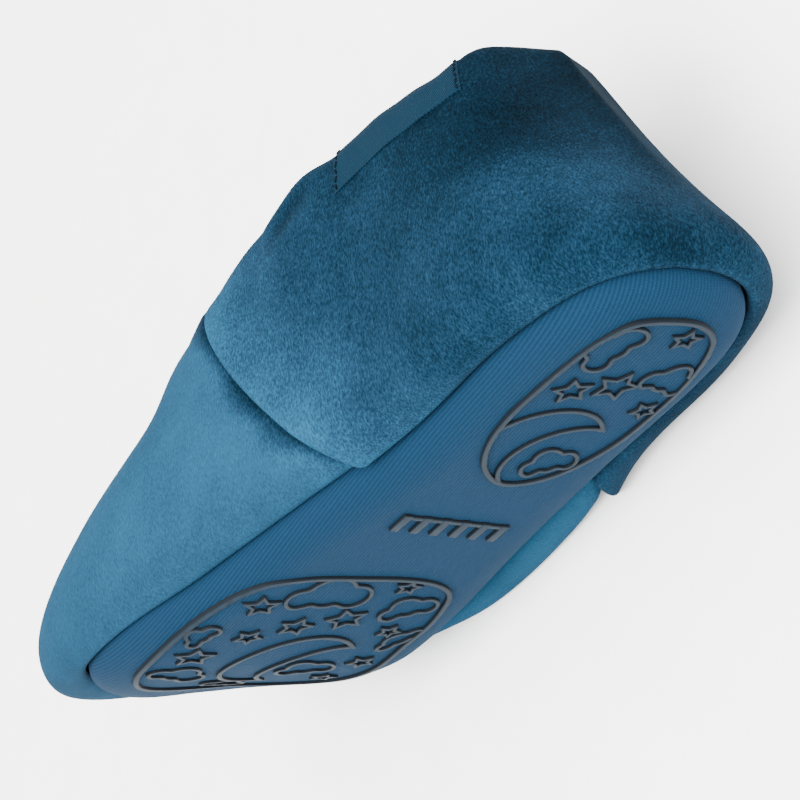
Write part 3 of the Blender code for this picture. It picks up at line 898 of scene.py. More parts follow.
@dataclass
class Upper:
    """Velour upper: vamp, heel panel with its rolled front edge, rounded collar and lining.

    Sizes are in millimetres, pairs are where a change starts and ends, and tones run from 0 to 1.
    """

    form: Form
    lay: Lay
    wall: float = 2.2
    collar_round: float = 4.2
    foot_round: float = 1.8
    foot_roll: float = 9.0
    lining_start: tuple[float, float] = (5.0, 6.5)
    lip: float = 2.7
    lip_thinner: float = 1.8
    lip_thins: tuple[float, float] = (0.6, 0.95)
    panel: float = 1.0
    fade: float = 14.0
    bead: float = 2.4
    overhang: float = 1.6
    settle: float = 9.0
    groove: float = 1.1
    groove_width: float = 2.6
    hump: float = 4.4
    hump_ahead: float = 17.0
    hump_length: float = 14.0
    hump_from: tuple[float, float] = (1.5, 5.0)
    hump_up: tuple[float, float] = (0.5, 0.95)
    heel_seam: float = 0.25
    heel_seam_width: float = 1.0
    heel_seam_along: float = 0.2
    heel_seam_up: tuple[float, float] = (0.6, 0.25)
    gather: float = 0.10
    gather_pitch: float = 2.1
    gather_fall: float = 0.32
    gather_rise: tuple[float, float] = (0.0, 0.03)
    gather_heel: tuple[float, float] = (0.34, 0.16)
    gather_toe: tuple[float, float] = (0.80, 0.92)
    soft_rounds: int = 60
    soft_along: tuple[float, float] = (0.42, 0.24)
    soft_from: tuple[float, float] = (0.02, 0.10)
    soft_to: tuple[float, float] = (0.75, 0.55)
    throat_rounds: int = 170
    throat_ahead: tuple[float, float] = (4.0, 10.0)
    throat_along: tuple[float, float] = (0.72, 0.64)
    throat_from: tuple[float, float] = (0.30, 0.50)
    throat_to: tuple[float, float] = (1.0, 0.78)
    heel_rows: int = 91
    arc_rows: int = 8
    vamp_rows: int = 95
    vamp_ease: float = 1.12
    foot_rows: int = 20
    wall_rows: int = 55
    wall_ease: float = 1.25
    lean_reach: float = 0.40
    # panel and vamp tones: the nap's own difference, partly painted light
    panel_tone: float = 0.40
    # painted highlight behind the heel panel's rolled front edge, on each side, fading back over a length
    lip_highlight_left: float = 0.42
    lip_highlight_right: float = 0.16
    lip_highlight_length: float = 24.0
    vamp_tone: float = 0.79
    vamp_right: float = 0.12
    vamp_right_from: tuple[float, float] = (6.0, 28.0)
    # painted shade at the vamp's foot, where it faces down
    vamp_foot_shade: float = 0.10
    vamp_foot_shade_up: tuple[float, float] = (0.35, 0.10)
    vamp_from: tuple[float, float] = (1.7, 2.6)
    vamp_nap: float = 0.5
    vamp_nap_from: tuple[float, float] = (2.0, 14.0)
    # painted shadow in the crease where the vamp runs under the panel's edge: its strength, place and width
    painted_crease_shadow: float = 0.60
    crease_ahead: float = 2.0
    crease_up: tuple[float, float] = (0.02, 0.2)
    crease_thin: float = 2.6
    crease_wide: float = 3.4
    crease_weak: float = 0.7
    crease_weakens: tuple[float, float] = (0.8, 1.0)
    # painted shade in the gathers' hollows, painted highlight on their swells
    gather_shading: float = 0.14
    # wider patches of the painted crease shadow
    patches: tuple[ShadowPatch, ...] = (ShadowPatch(0.74, 0.10, 1.0), ShadowPatch(0.45, 0.08, 0.9), ShadowPatch(0.29, 0.06, 0.7))
    # strokes of painted highlight and painted shade over the heel panel, partly the pile's nap
    light_strokes: tuple[LightStroke, ...] = (
        LightStroke(-0.06, (0.40, 0.08), (15.0, 45.0)),
        LightStroke(-0.22, (0.50, 0.95), (85.0, 40.0)),
        LightStroke(0.12, (0.07, 0.02), (90.0, 60.0)),
        LightStroke(-0.12, (0.35, 0.60), (32.0, 18.0), 4.0),
    )
    # dents: depth in the velour, with painted shade in troughs and painted highlight on swells
    dents: tuple[Dent, ...] = (
        Dent((77.5, 27.0, 64.5), 7.0, 3.0, 0.0, -20.0, 0.8, 0.20),
        Dent((94.2, 30.6, 52.0), 5.0, 4.0, 0.0, 0.0, 0.15, 0.10),
        Dent((15.0, 17.0, 46.0), 13.0, 14.0, 0.0, 0.0, 0.0, 0.12),
        Dent((91.0, 32.0, 49.0), 6.0, 4.0, 0.0, 30.0, 0.4, 0.02),
        Dent((63.0, 30.0, 35.0), 14.0, 6.0, 0.0, 35.0, 0.5, 0.07),
        Dent((23.0, 24.0, 46.0), 16.0, 8.0, 0.0, -20.0, 0.5, 0.08),
        Dent((6.5, 14.0, 29.0), 10.0, 8.0, 60.0, 0.0, -0.3, -0.10),
        Dent((-4.0, 7.0, 10.0), 1.6, 6.0, 75.0, 10.0, 0.6, 0.05),
        Dent((0.0, 12.0, 9.0), 14.0, 5.0, 55.0, 0.0, 0.2, 0.06),
        Dent((84.0, 32.0, 16.0), 9.0, 6.0, 0.0, 30.0, -0.3, -0.12),
        Dent((126.0, 29.0, 54.0), 7.0, 7.0, 0.0, -20.0, -0.8, 0.0),
        Dent((126.0, 39.0, 26.0), 14.0, 7.0, 0.0, 40.0, 0.4, 0.03),
        Dent((60.0, -30.0, 45.0), 14.0, 7.0, 0.0, 30.0, 0.6, 0.10),
        Dent((118.0, -36.0, 40.0), 14.0, 8.0, 0.0, 40.0, 0.5, 0.05),
    )

    def stations(self) -> Points:
        """Places of the grid's rows at the top, close together at the panel's edge and the throat.

        Returns:
            Shares of the half loop.
        """
        form = self.form
        mm = 1 / (form.sole_length * math.pi / 2)
        near = np.array([-13, -10, -8, -6.5, -5, -3.8, -2.8, -2, -1.3, -0.7, 0, 0.3, 0.6, 0.9, 1.2])
        bead = np.array([1.5, 1.8, 2.1, 2.4, 2.8, 3.3, 3.9, 4.6, 5.4, 6.3])
        lip = form.quarter_top + np.concatenate([near, bead]) * mm
        heel = np.linspace(0.0, lip[0], self.heel_rows + 1)[:-1]
        arc = form.throat - (form.throat - lip[-1]) * np.linspace(1.0, 0.0, self.arc_rows + 1)[1:] ** 2
        eased = np.linspace(0.0, 1.0, self.vamp_rows + 1)[1:] ** self.vamp_ease
        return np.concatenate([heel, lip, arc, form.throat + (1 - form.throat) * eased])

    def spread(self, side: Side) -> tuple[Points, Points]:
        """Places of the grid's points, leaning along with the panel's edge.

        Args:
            side: side of the slipper.

        Returns:
            Shares along the half loop and up the wall, rows by columns.
        """
        form = self.form
        foot = np.linspace(0.0, form.roll_share, self.foot_rows)
        eased = 1 - (1 - np.linspace(0.0, 1.0, self.wall_rows + 1)[1:]) ** self.wall_ease
        rises = np.concatenate([foot, form.roll_share + (1 - form.roll_share) * eased])
        top = self.stations()
        near = np.clip((top - form.quarter_top) / self.lean_reach, -1.0, 1.0)
        lean = (1 - near**2) ** 2
        along = top[:, None] + lean[:, None] * (form.quarter_edge(side, rises) - form.quarter_top)[None, :]
        along[0] = 0.0
        along[-1] = 1.0
        return along, np.broadcast_to(rises, along.shape).copy()

    @staticmethod
    def even_out(points: Points, share: Points, rounds: int) -> None:
        """Draws points towards the middle of their neighbours in the rows before and after.

        Args:
            points: rows by columns of places, changed in place.
            share: how far each point goes.
            rounds: how often.
        """
        for _ in range(rounds):
            middle = (points[:-2] + 2 * points[1:-1] + points[2:]) / 4
            points[1:-1] += (middle - points[1:-1]) * share[1:-1, :, None]

    def plain_wall(self, side: Side, along: Points, up: Points) -> Points:
        """The wall with the fold beside the throat and the ridge over the heel's roll evened out.

        Args:
            side: side of the slipper.
            along: shares along the half loop.
            up: shares up the wall.

        Returns:
            Points in millimetres.
        """
        points = self.form.wall(side, along, up)
        ahead = self.form.ahead_of_panel(side, along, up)
        throat = step(ahead, *self.throat_ahead) * step(along, *self.throat_along)
        throat = throat * step(up, *self.throat_from) * step(up, *self.throat_to)
        self.even_out(points, throat, self.throat_rounds)
        heel = step(along, *self.soft_along) * step(up, *self.soft_from) * step(up, *self.soft_to)
        self.even_out(points.swapaxes(0, 1), heel.T, self.soft_rounds)
        return points

    @staticmethod
    def frames(side: Side, points: Points) -> tuple[Points, Points]:
        """Outward unit normals of a wall's grid and its unit directions towards the toe."""
        ahead = np.gradient(points, axis=0)
        return unit(side.value * np.cross(np.gradient(points, axis=1), ahead)), unit(ahead)

    def close_ridge(self, walls: dict[Side, Points], normals: dict[Side, Points], spine: Points) -> None:
        """Gives both sides one normal on the centre line.

        Args:
            walls: points of each side.
            normals: normals of each side, changed in place.
            spine: which stations reach the centre line at the top.
        """
        ridge = sum(normal[spine, -1] for normal in normals.values())
        ridge[:, 1] = 0.0
        pole = walls[Side.LEFT][spine, -1][:, 0] >= self.form.toe_pole - 0.01
        ridge[pole] = ridge[pole].mean(axis=0)
        for normal in normals.values():
            normal[spine, -1] = ridge
            normal[[0, -1], :, 1] = 0.0
            normal[...] = unit(normal)

    def lip_profile(self, ahead: Points, up: Points) -> tuple[Points, Points]:
        """Rolled front edge of the heel panel, thinner where it nears the throat.

        Args:
            ahead: distance ahead of the edge, in millimetres.
            up: shares up the wall.

        Returns:
            Shift ahead and height over the plain wall.
        """
        turn = math.pi / 2 - math.pi * np.clip(ahead / self.bead, 0.0, 1.0)
        past = np.clip((ahead - self.bead) / (self.settle - self.bead), 0.0, 1.0) * self.settle
        lip = self.lip - self.lip_thinner * step(up, *self.lip_thins)
        behind = self.panel + (lip - self.panel) * np.exp(np.minimum(ahead, 0.0) / self.fade)
        rolled = lip / 2 * (1 + np.sin(turn)) - self.groove * step(ahead, self.bead * 0.6, self.bead)
        vamp = -self.groove * bell(past, self.groove_width)
        height = np.where(ahead < 0, behind, np.where(ahead < self.bead, rolled, vamp))
        place = np.where(ahead < 0, ahead, np.where(ahead < self.bead, self.overhang * np.cos(turn), past))
        return np.where(ahead < self.settle, place - ahead, 0.0), height

    def detail(self, side: Side, along: Points, up: Points, plain: Points) -> Points:
        """Height of gathers, the heel seam, dents and the hump before the throat.

        Args:
            side: side of the slipper.
            along: shares along the half loop.
            up: shares up the wall.
            plain: points of the plain wall.

        Returns:
            Heights in millimetres.
        """
        ahead = self.form.ahead_of_panel(side, along, up)
        hump = bell(ahead - self.hump_ahead, self.hump_length)
        hump = hump * step(up, *self.hump_up) * step(ahead, *self.hump_from)
        seam = bell(plain[..., 1], self.heel_seam_width)
        seam = seam * (along < self.heel_seam_along) * step(up, *self.heel_seam_up)
        gathers = self.gather * self.gathers(side, along, up)
        dents = sum(dent.depth * dent.share(plain) for dent in self.dents)
        return self.hump * hump - self.heel_seam * seam + gathers - dents

    def gathers(self, side: Side, along: Points, up: Points) -> Points:
        """Uneven small gathers at the seam round heel and toe.

        Args:
            side: side of the slipper.
            along: shares along the half loop.
            up: shares up the wall.

        Returns:
            Swells and hollows, 1 to -1.
        """
        seam = self.form.edge(side, along)
        run = np.concatenate([[0.0], np.cumsum(np.linalg.norm(np.diff(seam[:, 0], axis=0), axis=-1))])
        # slow waves that don't fit the pitch make the gathers uneven in place and in strength
        drift = 1.7 * np.sin(run / 4.3) + 0.9 * np.sin(run / 1.9)
        strength = 0.55 + 0.45 * np.sin(run / 5.1 + 1.0) * np.sin(run / 2.3)
        wave = strength * np.sin(2 * math.pi * run / self.gather_pitch + drift)
        ends = np.maximum(step(along, *self.gather_heel), step(along, *self.gather_toe))
        fall = np.exp(-up / (self.gather_fall * self.form.roll_share))
        return wave[:, None] * ends * fall * step(up, *self.gather_rise)

    def tone(self, side: Side, along: Points, up: Points, plain: Points) -> Points:
        """Tone of the pile, from 0 (dark) to 1 (light): its brushed nap, with painted highlight and painted
        shade laid on it.

        Args:
            side: side of the slipper.
            along: shares along the half loop.
            up: shares up the wall.
            plain: points of the plain wall.

        Returns:
            Tones.
        """
        ahead = self.form.ahead_of_panel(side, along, up)
        # painted highlight behind the panel's rolled front edge
        lip_highlight = self.lip_highlight_left if side is Side.LEFT else self.lip_highlight_right
        panel = self.panel_tone + lip_highlight * np.exp(np.minimum(ahead, 0.0) / self.lip_highlight_length)
        # strokes of painted highlight and painted shade, partly the pile's nap
        panel = panel + sum(light_stroke.stroke(plain, up) for light_stroke in self.light_strokes)
        # painted shadow in the crease ahead of the panel's edge
        wider = sum(patch.size * bell(up - patch.up, patch.spread) for patch in self.patches)
        wide = self.crease_thin + self.crease_wide * wider
        crease = bell(np.maximum(ahead - self.crease_ahead, 0.0), wide) * step(up, *self.crease_up)
        crease = crease * (1 - self.crease_weak * step(up, *self.crease_weakens))
        vamp = self.vamp_tone + self.vamp_right * step(-plain[..., 1], *self.vamp_right_from)
        # the vamp darkened by the painted crease shadow and painted shade at its foot
        vamp = vamp - self.painted_crease_shadow * crease - self.vamp_foot_shade * step(up, *self.vamp_foot_shade_up)
        whole = panel + (vamp - panel) * step(ahead, *self.vamp_from)
        # painted shade in the gathers' hollows, painted highlight on their swells
        whole = whole + self.gather_shading * self.gathers(side, along, up)
        # painted shade in dents, painted highlight on swells
        return whole - sum(dent.darker * dent.share(plain) for dent in self.dents)

    def skins(self) -> list[Piece]:
        """Outer and inner sheets of both sides.

        Returns:
            The sheets.
        """
        form = self.form
        grids = {side: self.spread(side) for side in Side}
        walls = {side: self.plain_wall(side, *grids[side]) for side in Side}
        found = {side: self.frames(side, walls[side]) for side in Side}
        normals = {side: found[side][0] for side in Side}
        top = grids[Side.LEFT][0][:, -1]
        spine = form.reach_in(top) >= 1.0
        self.close_ridge(walls, normals, spine)
        rim = np.concatenate([wall[top <= form.throat + 1e-6, -1] for wall in walls.values()])
        half = -self.wall / 2
        sheets = []
        for side, plain in walls.items():
            along, up = grids[side]
            ahead = form.ahead_of_panel(side, along, up)
            shift, raised = self.lip_profile(ahead, up)
            parts = np.array_split(plain.reshape(-1, 3), len(plain))
            gaps = [np.sqrt(((part[:, None] - rim[None]) ** 2).sum(axis=-1)).min(axis=1) for part in parts]
            from_rim = np.concatenate(gaps).reshape(along.shape)
            rim_share = np.clip(1 - from_rim / self.collar_round, 0.0, 1.0)
            foot_share = np.clip(1 - up / form.roll_share * self.foot_roll / self.foot_round, 0.0, 1.0)
            full = np.sqrt(1 - np.maximum(rim_share, foot_share) ** 2)
            height = raised + self.detail(side, along, up, plain)
            slide = found[side][1] * (shift * full**2)[..., None]
            outer = plain + normals[side] * (half + (height - half) * full)[..., None] + slide
            inner = plain + normals[side] * (half + (-self.wall - half) * full)[..., None]
            for layer in (outer, inner):
                layer[[0, -1], :, 1] = 0.0
                layer[spine, -1, 1] = 0.0
            inner[full < 1e-6] = outer[full < 1e-6]
            nap = 1 - self.vamp_nap * step(ahead, *self.vamp_nap_from)
            # the tone mask carries painted highlight and painted shade as well as the nap
            masks = {"tone": self.tone(side, along, up, plain), "nap": nap}
            linings = (np.zeros_like(up), step(from_rim, *self.lining_start))
            for layer, lining in zip((outer, inner), linings):
                sheets.append(Bench.sheet("skin", self.lay.place(layer), lining=lining, **masks))
        return sheets

    def build(self) -> Piece:
        """Models the upper as one closed padded wall."""
        return Bench.close("velour_upper", self.skins(), 0.012 * MM)

    def dress(self, piece: Piece) -> None:
        """Covers the upper in velour."""
        Bench.finish(piece, Velour().material(), "velour", "upper")


@dataclass
class Sole:
    """Knit-covered foam sole and the insole on it."""

    form: Form
    lay: Lay
    insole: float = 2.5
    crown: float = 1.2
    shoulder: float = 0.04
    stations: int = 170

    def centre(self, along: Points, above: float) -> Points:
        """Points of the centre line at a height over the tread."""
        x = np.clip(self.form.edge_x(along), self.form.heel_pole, self.form.toe_pole)
        return np.stack([x, 0 * along, self.form.tread(x, 0 * along) + above], axis=-1)

    def sheet(self, side: Side, along: Points, rows: list[Points]) -> Piece:
        """One half of a pad, with the places of its cloth rolled out flat.

        Args:
            side: side of the slipper.
            along: shares of the half loop.
            rows: lines of points from the centre line outwards.

        Returns:
            The sheet.
        """
        points = np.stack(rows, axis=1)
        steps = np.linalg.norm(np.diff(points, axis=1), axis=-1)
        run = np.concatenate([np.zeros((len(along), 1)), np.cumsum(steps, axis=1)], axis=1)
        direction, _ = self.form.outward(side, along)
        flat = points[:, :1, :2] + direction[:, None] * run[..., None]
        cloth = np.concatenate([flat, 0 * run[..., None]], axis=-1) * MM
        return Bench.sheet("half", self.lay.place(points), cloth=cloth)

    def build_outsole(self) -> Piece:
        """Models the sole: flat tread, soft turn, upright edge and closed top.

        Returns:
            The sole.
        """
        form = self.form
        along = np.linspace(0.0, 1.0, self.stations)
        sheets = []
        for side in Side:
            start = form.sole_point(side, along, 1.0, 0.0, 0.0)
            middle = self.centre(along, 0.0)
            rows = []
            for t in np.linspace(0.0, 1.0, 16)[:-1]:
                row = middle + (start - middle) * t
                row[:, 2] = form.tread(row[:, 0], row[:, 1])
                rows.append(row)
            for turn in np.radians(np.linspace(0.0, 90.0, 16)):
                rows.append(form.sole_point(side, along, 1 - math.sin(turn), 1 - math.cos(turn), 0.0))
            top = form.sole_point(side, along, 0.0, 1.0, form.band)
            cap = self.centre(along, form.seam + form.band)
            rows += [top + (cap - top) * t for t in (0.0, 0.2, 0.6, 1.0)]
            sheets.append(self.sheet(side, along, rows))
        return Bench.close("knit_sole", sheets, 0.01 * MM, 60.0)

    def build_insole(self) -> Piece:
        """Models the insole: a thin pad with a rounded edge and a slight crown.

        Returns:
            The insole.
        """
        form = self.form
        along = np.linspace(0.0, 1.0, self.stations)
        base = form.band + form.gap
        flat = 1 - self.shoulder
        sheets = []
        for side in Side:
            edge = form.sole_point(side, along, 0.0, 1.0, base)
            middle = self.centre(along, form.seam + base)
            rows = [middle + (edge - middle) * t for t in (0.0, 0.5, flat)]
            for turn in np.radians(np.linspace(-90.0, 90.0, 9)):
                row = middle + (edge - middle) * (1 - self.shoulder * (1 - math.cos(turn)))
                row[:, 2] += self.insole / 2 * (1 + math.sin(turn))
                rows.append(row)
            for t in np.linspace(0.94, 0.0, 14):
                row = middle + (edge - middle) * t
                row[:, 2] += self.insole + self.crown * (1 - (t / flat) ** 2) ** 2
                rows.append(row)
            sheets.append(self.sheet(side, along, rows))
        return Bench.close("insole_pad", sheets, 0.01 * MM, 70.0)

    def dress(self, outsole: Piece, insole: Piece) -> None:
        """Covers sole and insole in jersey.

        Args:
            outsole: the sole.
            insole: the insole.
        """
        Bench.finish(outsole, Jersey().material("single jersey"), "knit", "outsole")
        lining = Jersey(wale_mm=0.9, course_mm=0.8)
        Bench.finish(insole, lining.material("brushed jersey lining"), "insole_cloth", "insole")


@dataclass(frozen=True)
class Motif:
    """One grip figure: its place, size, width for its length and turn from the toe direction."""

    shape: Shape
    x: float
    y: float
    size: float
    wide: float
    turn_deg: float


@dataclass
class Grips:
    """Raised rubber bands under the sole: two rings, the figures inside them and a row of bars.

    Sizes are in millimetres. Waist, hole, bite, ahead and the lobes' places and radii are shares
    of a figure's size, the star's hole counted in bands.
    """

    form: Form
    lay: Lay
    height: float = 0.68
    ring_band: float = 1.2
    band: float = 0.95
    sink: float = 0.25
    motif_lower: float = 0.05
    star_waist: float = 0.5
    star_hole: float = 1.9
    moon_bite: float = 0.84
    moon_ahead: float = 0.73
    lobes: tuple[tuple[float, float, float], ...] = (
        (-0.52, -0.05, 0.42), (0.05, 0.12, 0.55), (0.62, -0.12, 0.36),
    )
    rings: tuple[tuple[tuple[float, float], ...], ...] = (
        (
            (7.6, 3.1), (7.8, -2.9), (11.4, -8.1), (18.6, -11.3), (27.1, -13.1), (36.6, -13.5),
            (45.6, -13.1), (53.6, -11.1), (60.4, -7.7), (64.6, -2.4), (64.8, 3.1), (60.1, 9.1),
            (52.2, 13.3), (43.1, 15.1), (33.1, 15.3), (23.6, 14.8), (16.5, 13.6), (10.1, 10.3),
        ),
        (
            (104.0, -2.5), (104.8, -10.1), (108.2, -15.4), (114.9, -17.9), (122.4, -19.2), (130.4, -19.4),
            (138.4, -20.2), (147.4, -20.9), (156.4, -19.8), (163.8, -15.6), (169.0, -9.6), (171.6, -1.6),
            (172.0, 7.5), (170.6, 16.4), (166.9, 23.4), (160.1, 28.2), (151.4, 30.4), (142.4, 31.4),
            (133.4, 31.3), (124.4, 30.1), (116.4, 28.1), (110.4, 24.6), (107.0, 17.9), (105.2, 7.5),
        ),
    )
    motifs: tuple[Motif, ...] = (
        Motif(Shape.MOON, 51.7, 3.3, 12.2, 1.14, -67.0),
        Motif(Shape.CLOUD, 56.3, -3.5, 6.2, 1.35, 56.0),
        Motif(Shape.CLOUD, 18.1, 9.9, 7.9, 1.15, 12.0),
        Motif(Shape.CLOUD, 25.3, -8.6, 6.1, 1.40, 100.0),
        Motif(Shape.STAR, 32.4, 8.6, 4.5, 1.0, 10.0),
        Motif(Shape.STAR, 29.1, 0.8, 5.2, 1.0, 40.0),
        Motif(Shape.STAR, 12.2, -2.4, 3.6, 1.0, 25.0),
        Motif(Shape.STAR, 35.3, -10.3, 3.3, 1.0, 60.0),
        Motif(Shape.MOON, 146.1, 0.4, 12.5, 1.32, -79.0),
        Motif(Shape.CLOUD, 147.8, -5.4, 6.9, 1.25, 50.0),
        Motif(Shape.CLOUD, 112.8, 10.4, 9.7, 1.20, 78.0),
        Motif(Shape.CLOUD, 115.3, -10.0, 6.9, 1.15, 52.0),
        Motif(Shape.CLOUD, 128.5, -16.6, 6.6, 0.75, 27.0),
        Motif(Shape.CLOUD, 134.8, 27.6, 5.5, 0.95, 10.0),
        Motif(Shape.CLOUD, 156.8, 20.0, 7.8, 1.05, 108.0),
        Motif(Shape.CLOUD, 165.2, 3.4, 6.0, 1.0, 100.0),
        Motif(Shape.STAR, 119.4, 22.8, 4.4, 1.0, 15.0),
        Motif(Shape.STAR, 126.6, 10.4, 4.4, 1.0, 35.0),
        Motif(Shape.STAR, 121.6, 1.3, 5.0, 1.0, 5.0),
        Motif(Shape.STAR, 133.0, 17.8, 3.7, 1.0, 50.0),
        Motif(Shape.STAR, 144.8, 23.6, 5.0, 1.0, 20.0),
        Motif(Shape.STAR, 106.8, -4.4, 3.3, 1.0, 30.0),
        Motif(Shape.STAR, 125.4, -11.6, 3.2, 1.0, 45.0),
        Motif(Shape.STAR, 141.0, -14.8, 3.6, 1.0, 60.0),
        Motif(Shape.STAR, 154.2, -14.2, 3.4, 1.0, 25.0),
    )
    bars: int = 6
    bar_size: tuple[float, float] = (6.0, 2.0)
    bar_pitch: float = 4.6
    bar_bevel: float = 0.25
    bar_strip: float = 1.2
    strip_ahead: float = 0.2
    strip_lower: float = 0.06
    bar_centre: tuple[float, float] = (83.0, 1.5)

    @staticmethod
    def beside(loop: Points, offset: float) -> Points:
        """A closed plan outline moved out square to itself.

        Args:
            loop: the outline.
            offset: how far out, in millimetres.

        Returns:
            The moved outline.
        """
        ahead = np.roll(loop, -1, axis=0) - loop
        ahead /= np.linalg.norm(ahead, axis=1)[:, None]
        normal = np.column_stack([ahead[:, 1], -ahead[:, 0]])
        both = normal + np.roll(normal, 1, axis=0)
        square = np.maximum((both**2).sum(axis=1), 0.9)
        return loop + 2 * offset * both / square[:, None]

    @staticmethod
    def through(marks: Sequence[tuple[float, float]]) -> Points:
        """A smooth closed outline through some plan places.

        Args:
            marks: the places, in order.

        Returns:
            The outline.
        """
        start = np.array(marks)
        before, end, after = (np.roll(start, shift, axis=0) for shift in (1, -1, -2))
        t = np.linspace(0.0, 1.0, 8, endpoint=False)[None, :, None]
        start, before, end, after = (spots[:, None] for spots in (start, before, end, after))
        bend = (2 * before - 5 * start + 4 * end - after) * t**2
        bend = bend + (3 * start - before - 3 * end + after) * t**3
        return (start + ((end - before) * t + bend) / 2).reshape(-1, 2)

    @staticmethod
    def kept_in(loop: Points, ring: Points) -> Points:
        """An outline drawn in to the ring's line where it would pass it.

        Args:
            loop: the outline.
            ring: the ring's line.

        Returns:
            The outline, inside the ring.
        """
        middle = ring.mean(axis=0)
        away, edge = loop - middle, ring - middle
        reach = np.linalg.norm(away, axis=1)
        turns, ring_turns = (np.arctan2(spots[:, 1], spots[:, 0]) for spots in (away, edge))
        limit = np.interp(turns, ring_turns, np.linalg.norm(edge, axis=1), period=2 * math.pi)
        return middle + away * np.minimum(1.0, limit / np.maximum(reach, 1e-6))[:, None]

    def star(self, size: float, wide: float) -> tuple[Points, Points]:
        """Five-pointed star with blunted points.

        Args:
            size: the figure's radius.
            wide: its width for its length.

        Returns:
            The outline and the edge of its hole.
        """
        corner = np.arange(10)
        radius = np.where(corner % 2 == 0, size, size * self.star_waist)
        turn = corner * math.pi / 5
        loop = np.column_stack([radius * np.cos(turn), wide * radius * np.sin(turn)])
        after = np.roll(loop, -1, axis=0) - loop
        fine = np.stack([loop + after * t for t in (0.0, 0.1, 0.5, 0.9)], axis=1).reshape(-1, 2)
        fine[0::4] = 0.5 * fine[0::4] + 0.25 * (np.roll(fine, 1, axis=0)[0::4] + fine[1::4])
        return fine, fine * (1 - self.star_hole * self.band / size)

    def cloud(self, size: float, wide: float) -> tuple[Points, Points]:
        """Cloud of three round lobes.

        Args:
            size: the figure's radius.
            wide: its width for its length.

        Returns:
            The outline and the edge of its hole.
        """
        turn = np.linspace(0.0, 2 * math.pi, 90, endpoint=False)
        ray = np.column_stack([np.cos(turn), np.sin(turn)])
        reach = np.zeros(len(turn))
        for x, y, radius in self.lobes:
            along = ray @ np.array([x, y])
            across = ray @ np.array([-y, x])
            gap = radius**2 - across**2
            reach = np.maximum(reach, np.where(gap > 0, along + np.sqrt(np.maximum(gap, 0.0)), 0.0))
        reach = (np.roll(reach, 1) + 2 * reach + np.roll(reach, -1)) / 4
        loop = ray * (size * reach)[:, None] * np.array([1.0, wide])
        return loop, self.beside(loop, -self.band)

    def moon(self, size: float, wide: float) -> tuple[Points, Points]:
        """Crescent moon.

        Args:
            size: the figure's radius.
            wide: its width for its length.

        Returns:
            The outline and the edge of its hole.
        """
        bite, centre = self.moon_bite * size, self.moon_ahead * size
        stretch = np.array([1.0, wide])
        outer = self.crescent(size, bite, centre) * stretch
        return outer, self.crescent(size - self.band, bite + self.band, centre) * stretch

    @staticmethod
    def crescent(radius: float, bite: float, centre: float) -> Points:
        """Loop between an arc about the origin and a second arc ahead of it.

        Args:
            radius: radius of the outer arc.
            bite: radius of the second arc.
            centre: how far ahead the second arc's centre lies.

        Returns:
            The loop's points.
        """
        tip_x = (radius**2 - bite**2 + centre**2) / (2 * centre)
        tip_y = math.sqrt(radius**2 - tip_x**2)
        start, back = math.atan2(tip_y, tip_x), math.atan2(tip_y, tip_x - centre)
        outer = np.linspace(start, 2 * math.pi - start, 56)
        inner = np.linspace(2 * math.pi - back, back, 42)[1:-1]
        first = np.column_stack([radius * np.cos(outer), radius * np.sin(outer)])
        second = np.column_stack([centre + bite * np.cos(inner), bite * np.sin(inner)])
        return np.concatenate([first, second])

    def ribbon(self, outer: Points, inner: Points, height: float) -> Piece:
        """A raised band with rounded shoulders between two plan outlines.

        Args:
            outer: the band's outer outline.
            inner: the edge of its hole.
            height: height over the knit, in millimetres.

        Returns:
            The band.
        """
        # share of the way in, drop as a share of the height, and the top mask (0 on the walls, which get
        # painted shade)
        profile = (
            (0.0, -self.sink, 0.0), (0.0, 0.3, 0.0), (0.01, 0.8, 0.0), (0.05, 0.93, 0.0), (0.14, 1.0, 0.2),
            (0.26, 1.02, 1.0), (0.5, 1.02, 1.0), (0.74, 1.02, 1.0), (0.86, 1.0, 0.2), (0.95, 0.93, 0.0),
            (0.99, 0.8, 0.0), (1.0, 0.3, 0.0), (1.0, -self.sink, 0.0),
        )
        outer, inner = (np.concatenate([loop, loop[:1]]) for loop in (outer, inner))
        rows = []
        for share, drop, _ in profile:
            plan = outer + (inner - outer) * share
            z = self.form.underside(plan[:, 0], plan[:, 1]) - drop * height
            rows.append(np.column_stack([plan, z]))
        top = np.broadcast_to([row[2] for row in profile], (len(outer), len(profile)))
        return Bench.sheet("band", self.lay.place(np.stack(rows, axis=1)), top=top)

    def bar(self, x: float, y: float, length: float, width: float, height: float) -> Piece:
        """One bevelled bar of the row at the waist.

        Args:
            x: place along the shoe.
            y: place across it.
            length: size along the shoe.
            width: size across it.
            height: height over the knit.

        Returns:
            The bar.
        """
        Bench.clear()
        bpy.ops.mesh.primitive_cube_add(size=1.0)
        piece = bpy.context.object
        corners = np.array([v.co for v in piece.data.vertices])
        sizes = np.array([length, width, self.sink + height])
        spots = corners * sizes + np.array([x, y, (self.sink - height) / 2])
        piece.data.vertices.foreach_set("co", self.lay.place(spots).astype(np.float32).ravel())
        bevel = piece.modifiers.new("edge", "BEVEL")
        bevel.width = self.bar_bevel * MM
        bevel.segments = 3
        bpy.ops.object.modifier_apply(modifier=bevel.name)
        heights = np.array([v.co.y for v in piece.data.vertices])
        # top mask: 1 on the top, 0 on the walls, which get painted shade
        layer = piece.data.attributes.new("top", "FLOAT", "POINT")
        layer.data.foreach_set("value", (heights < heights.min() + 0.02 * MM).astype(np.float32))
        return piece

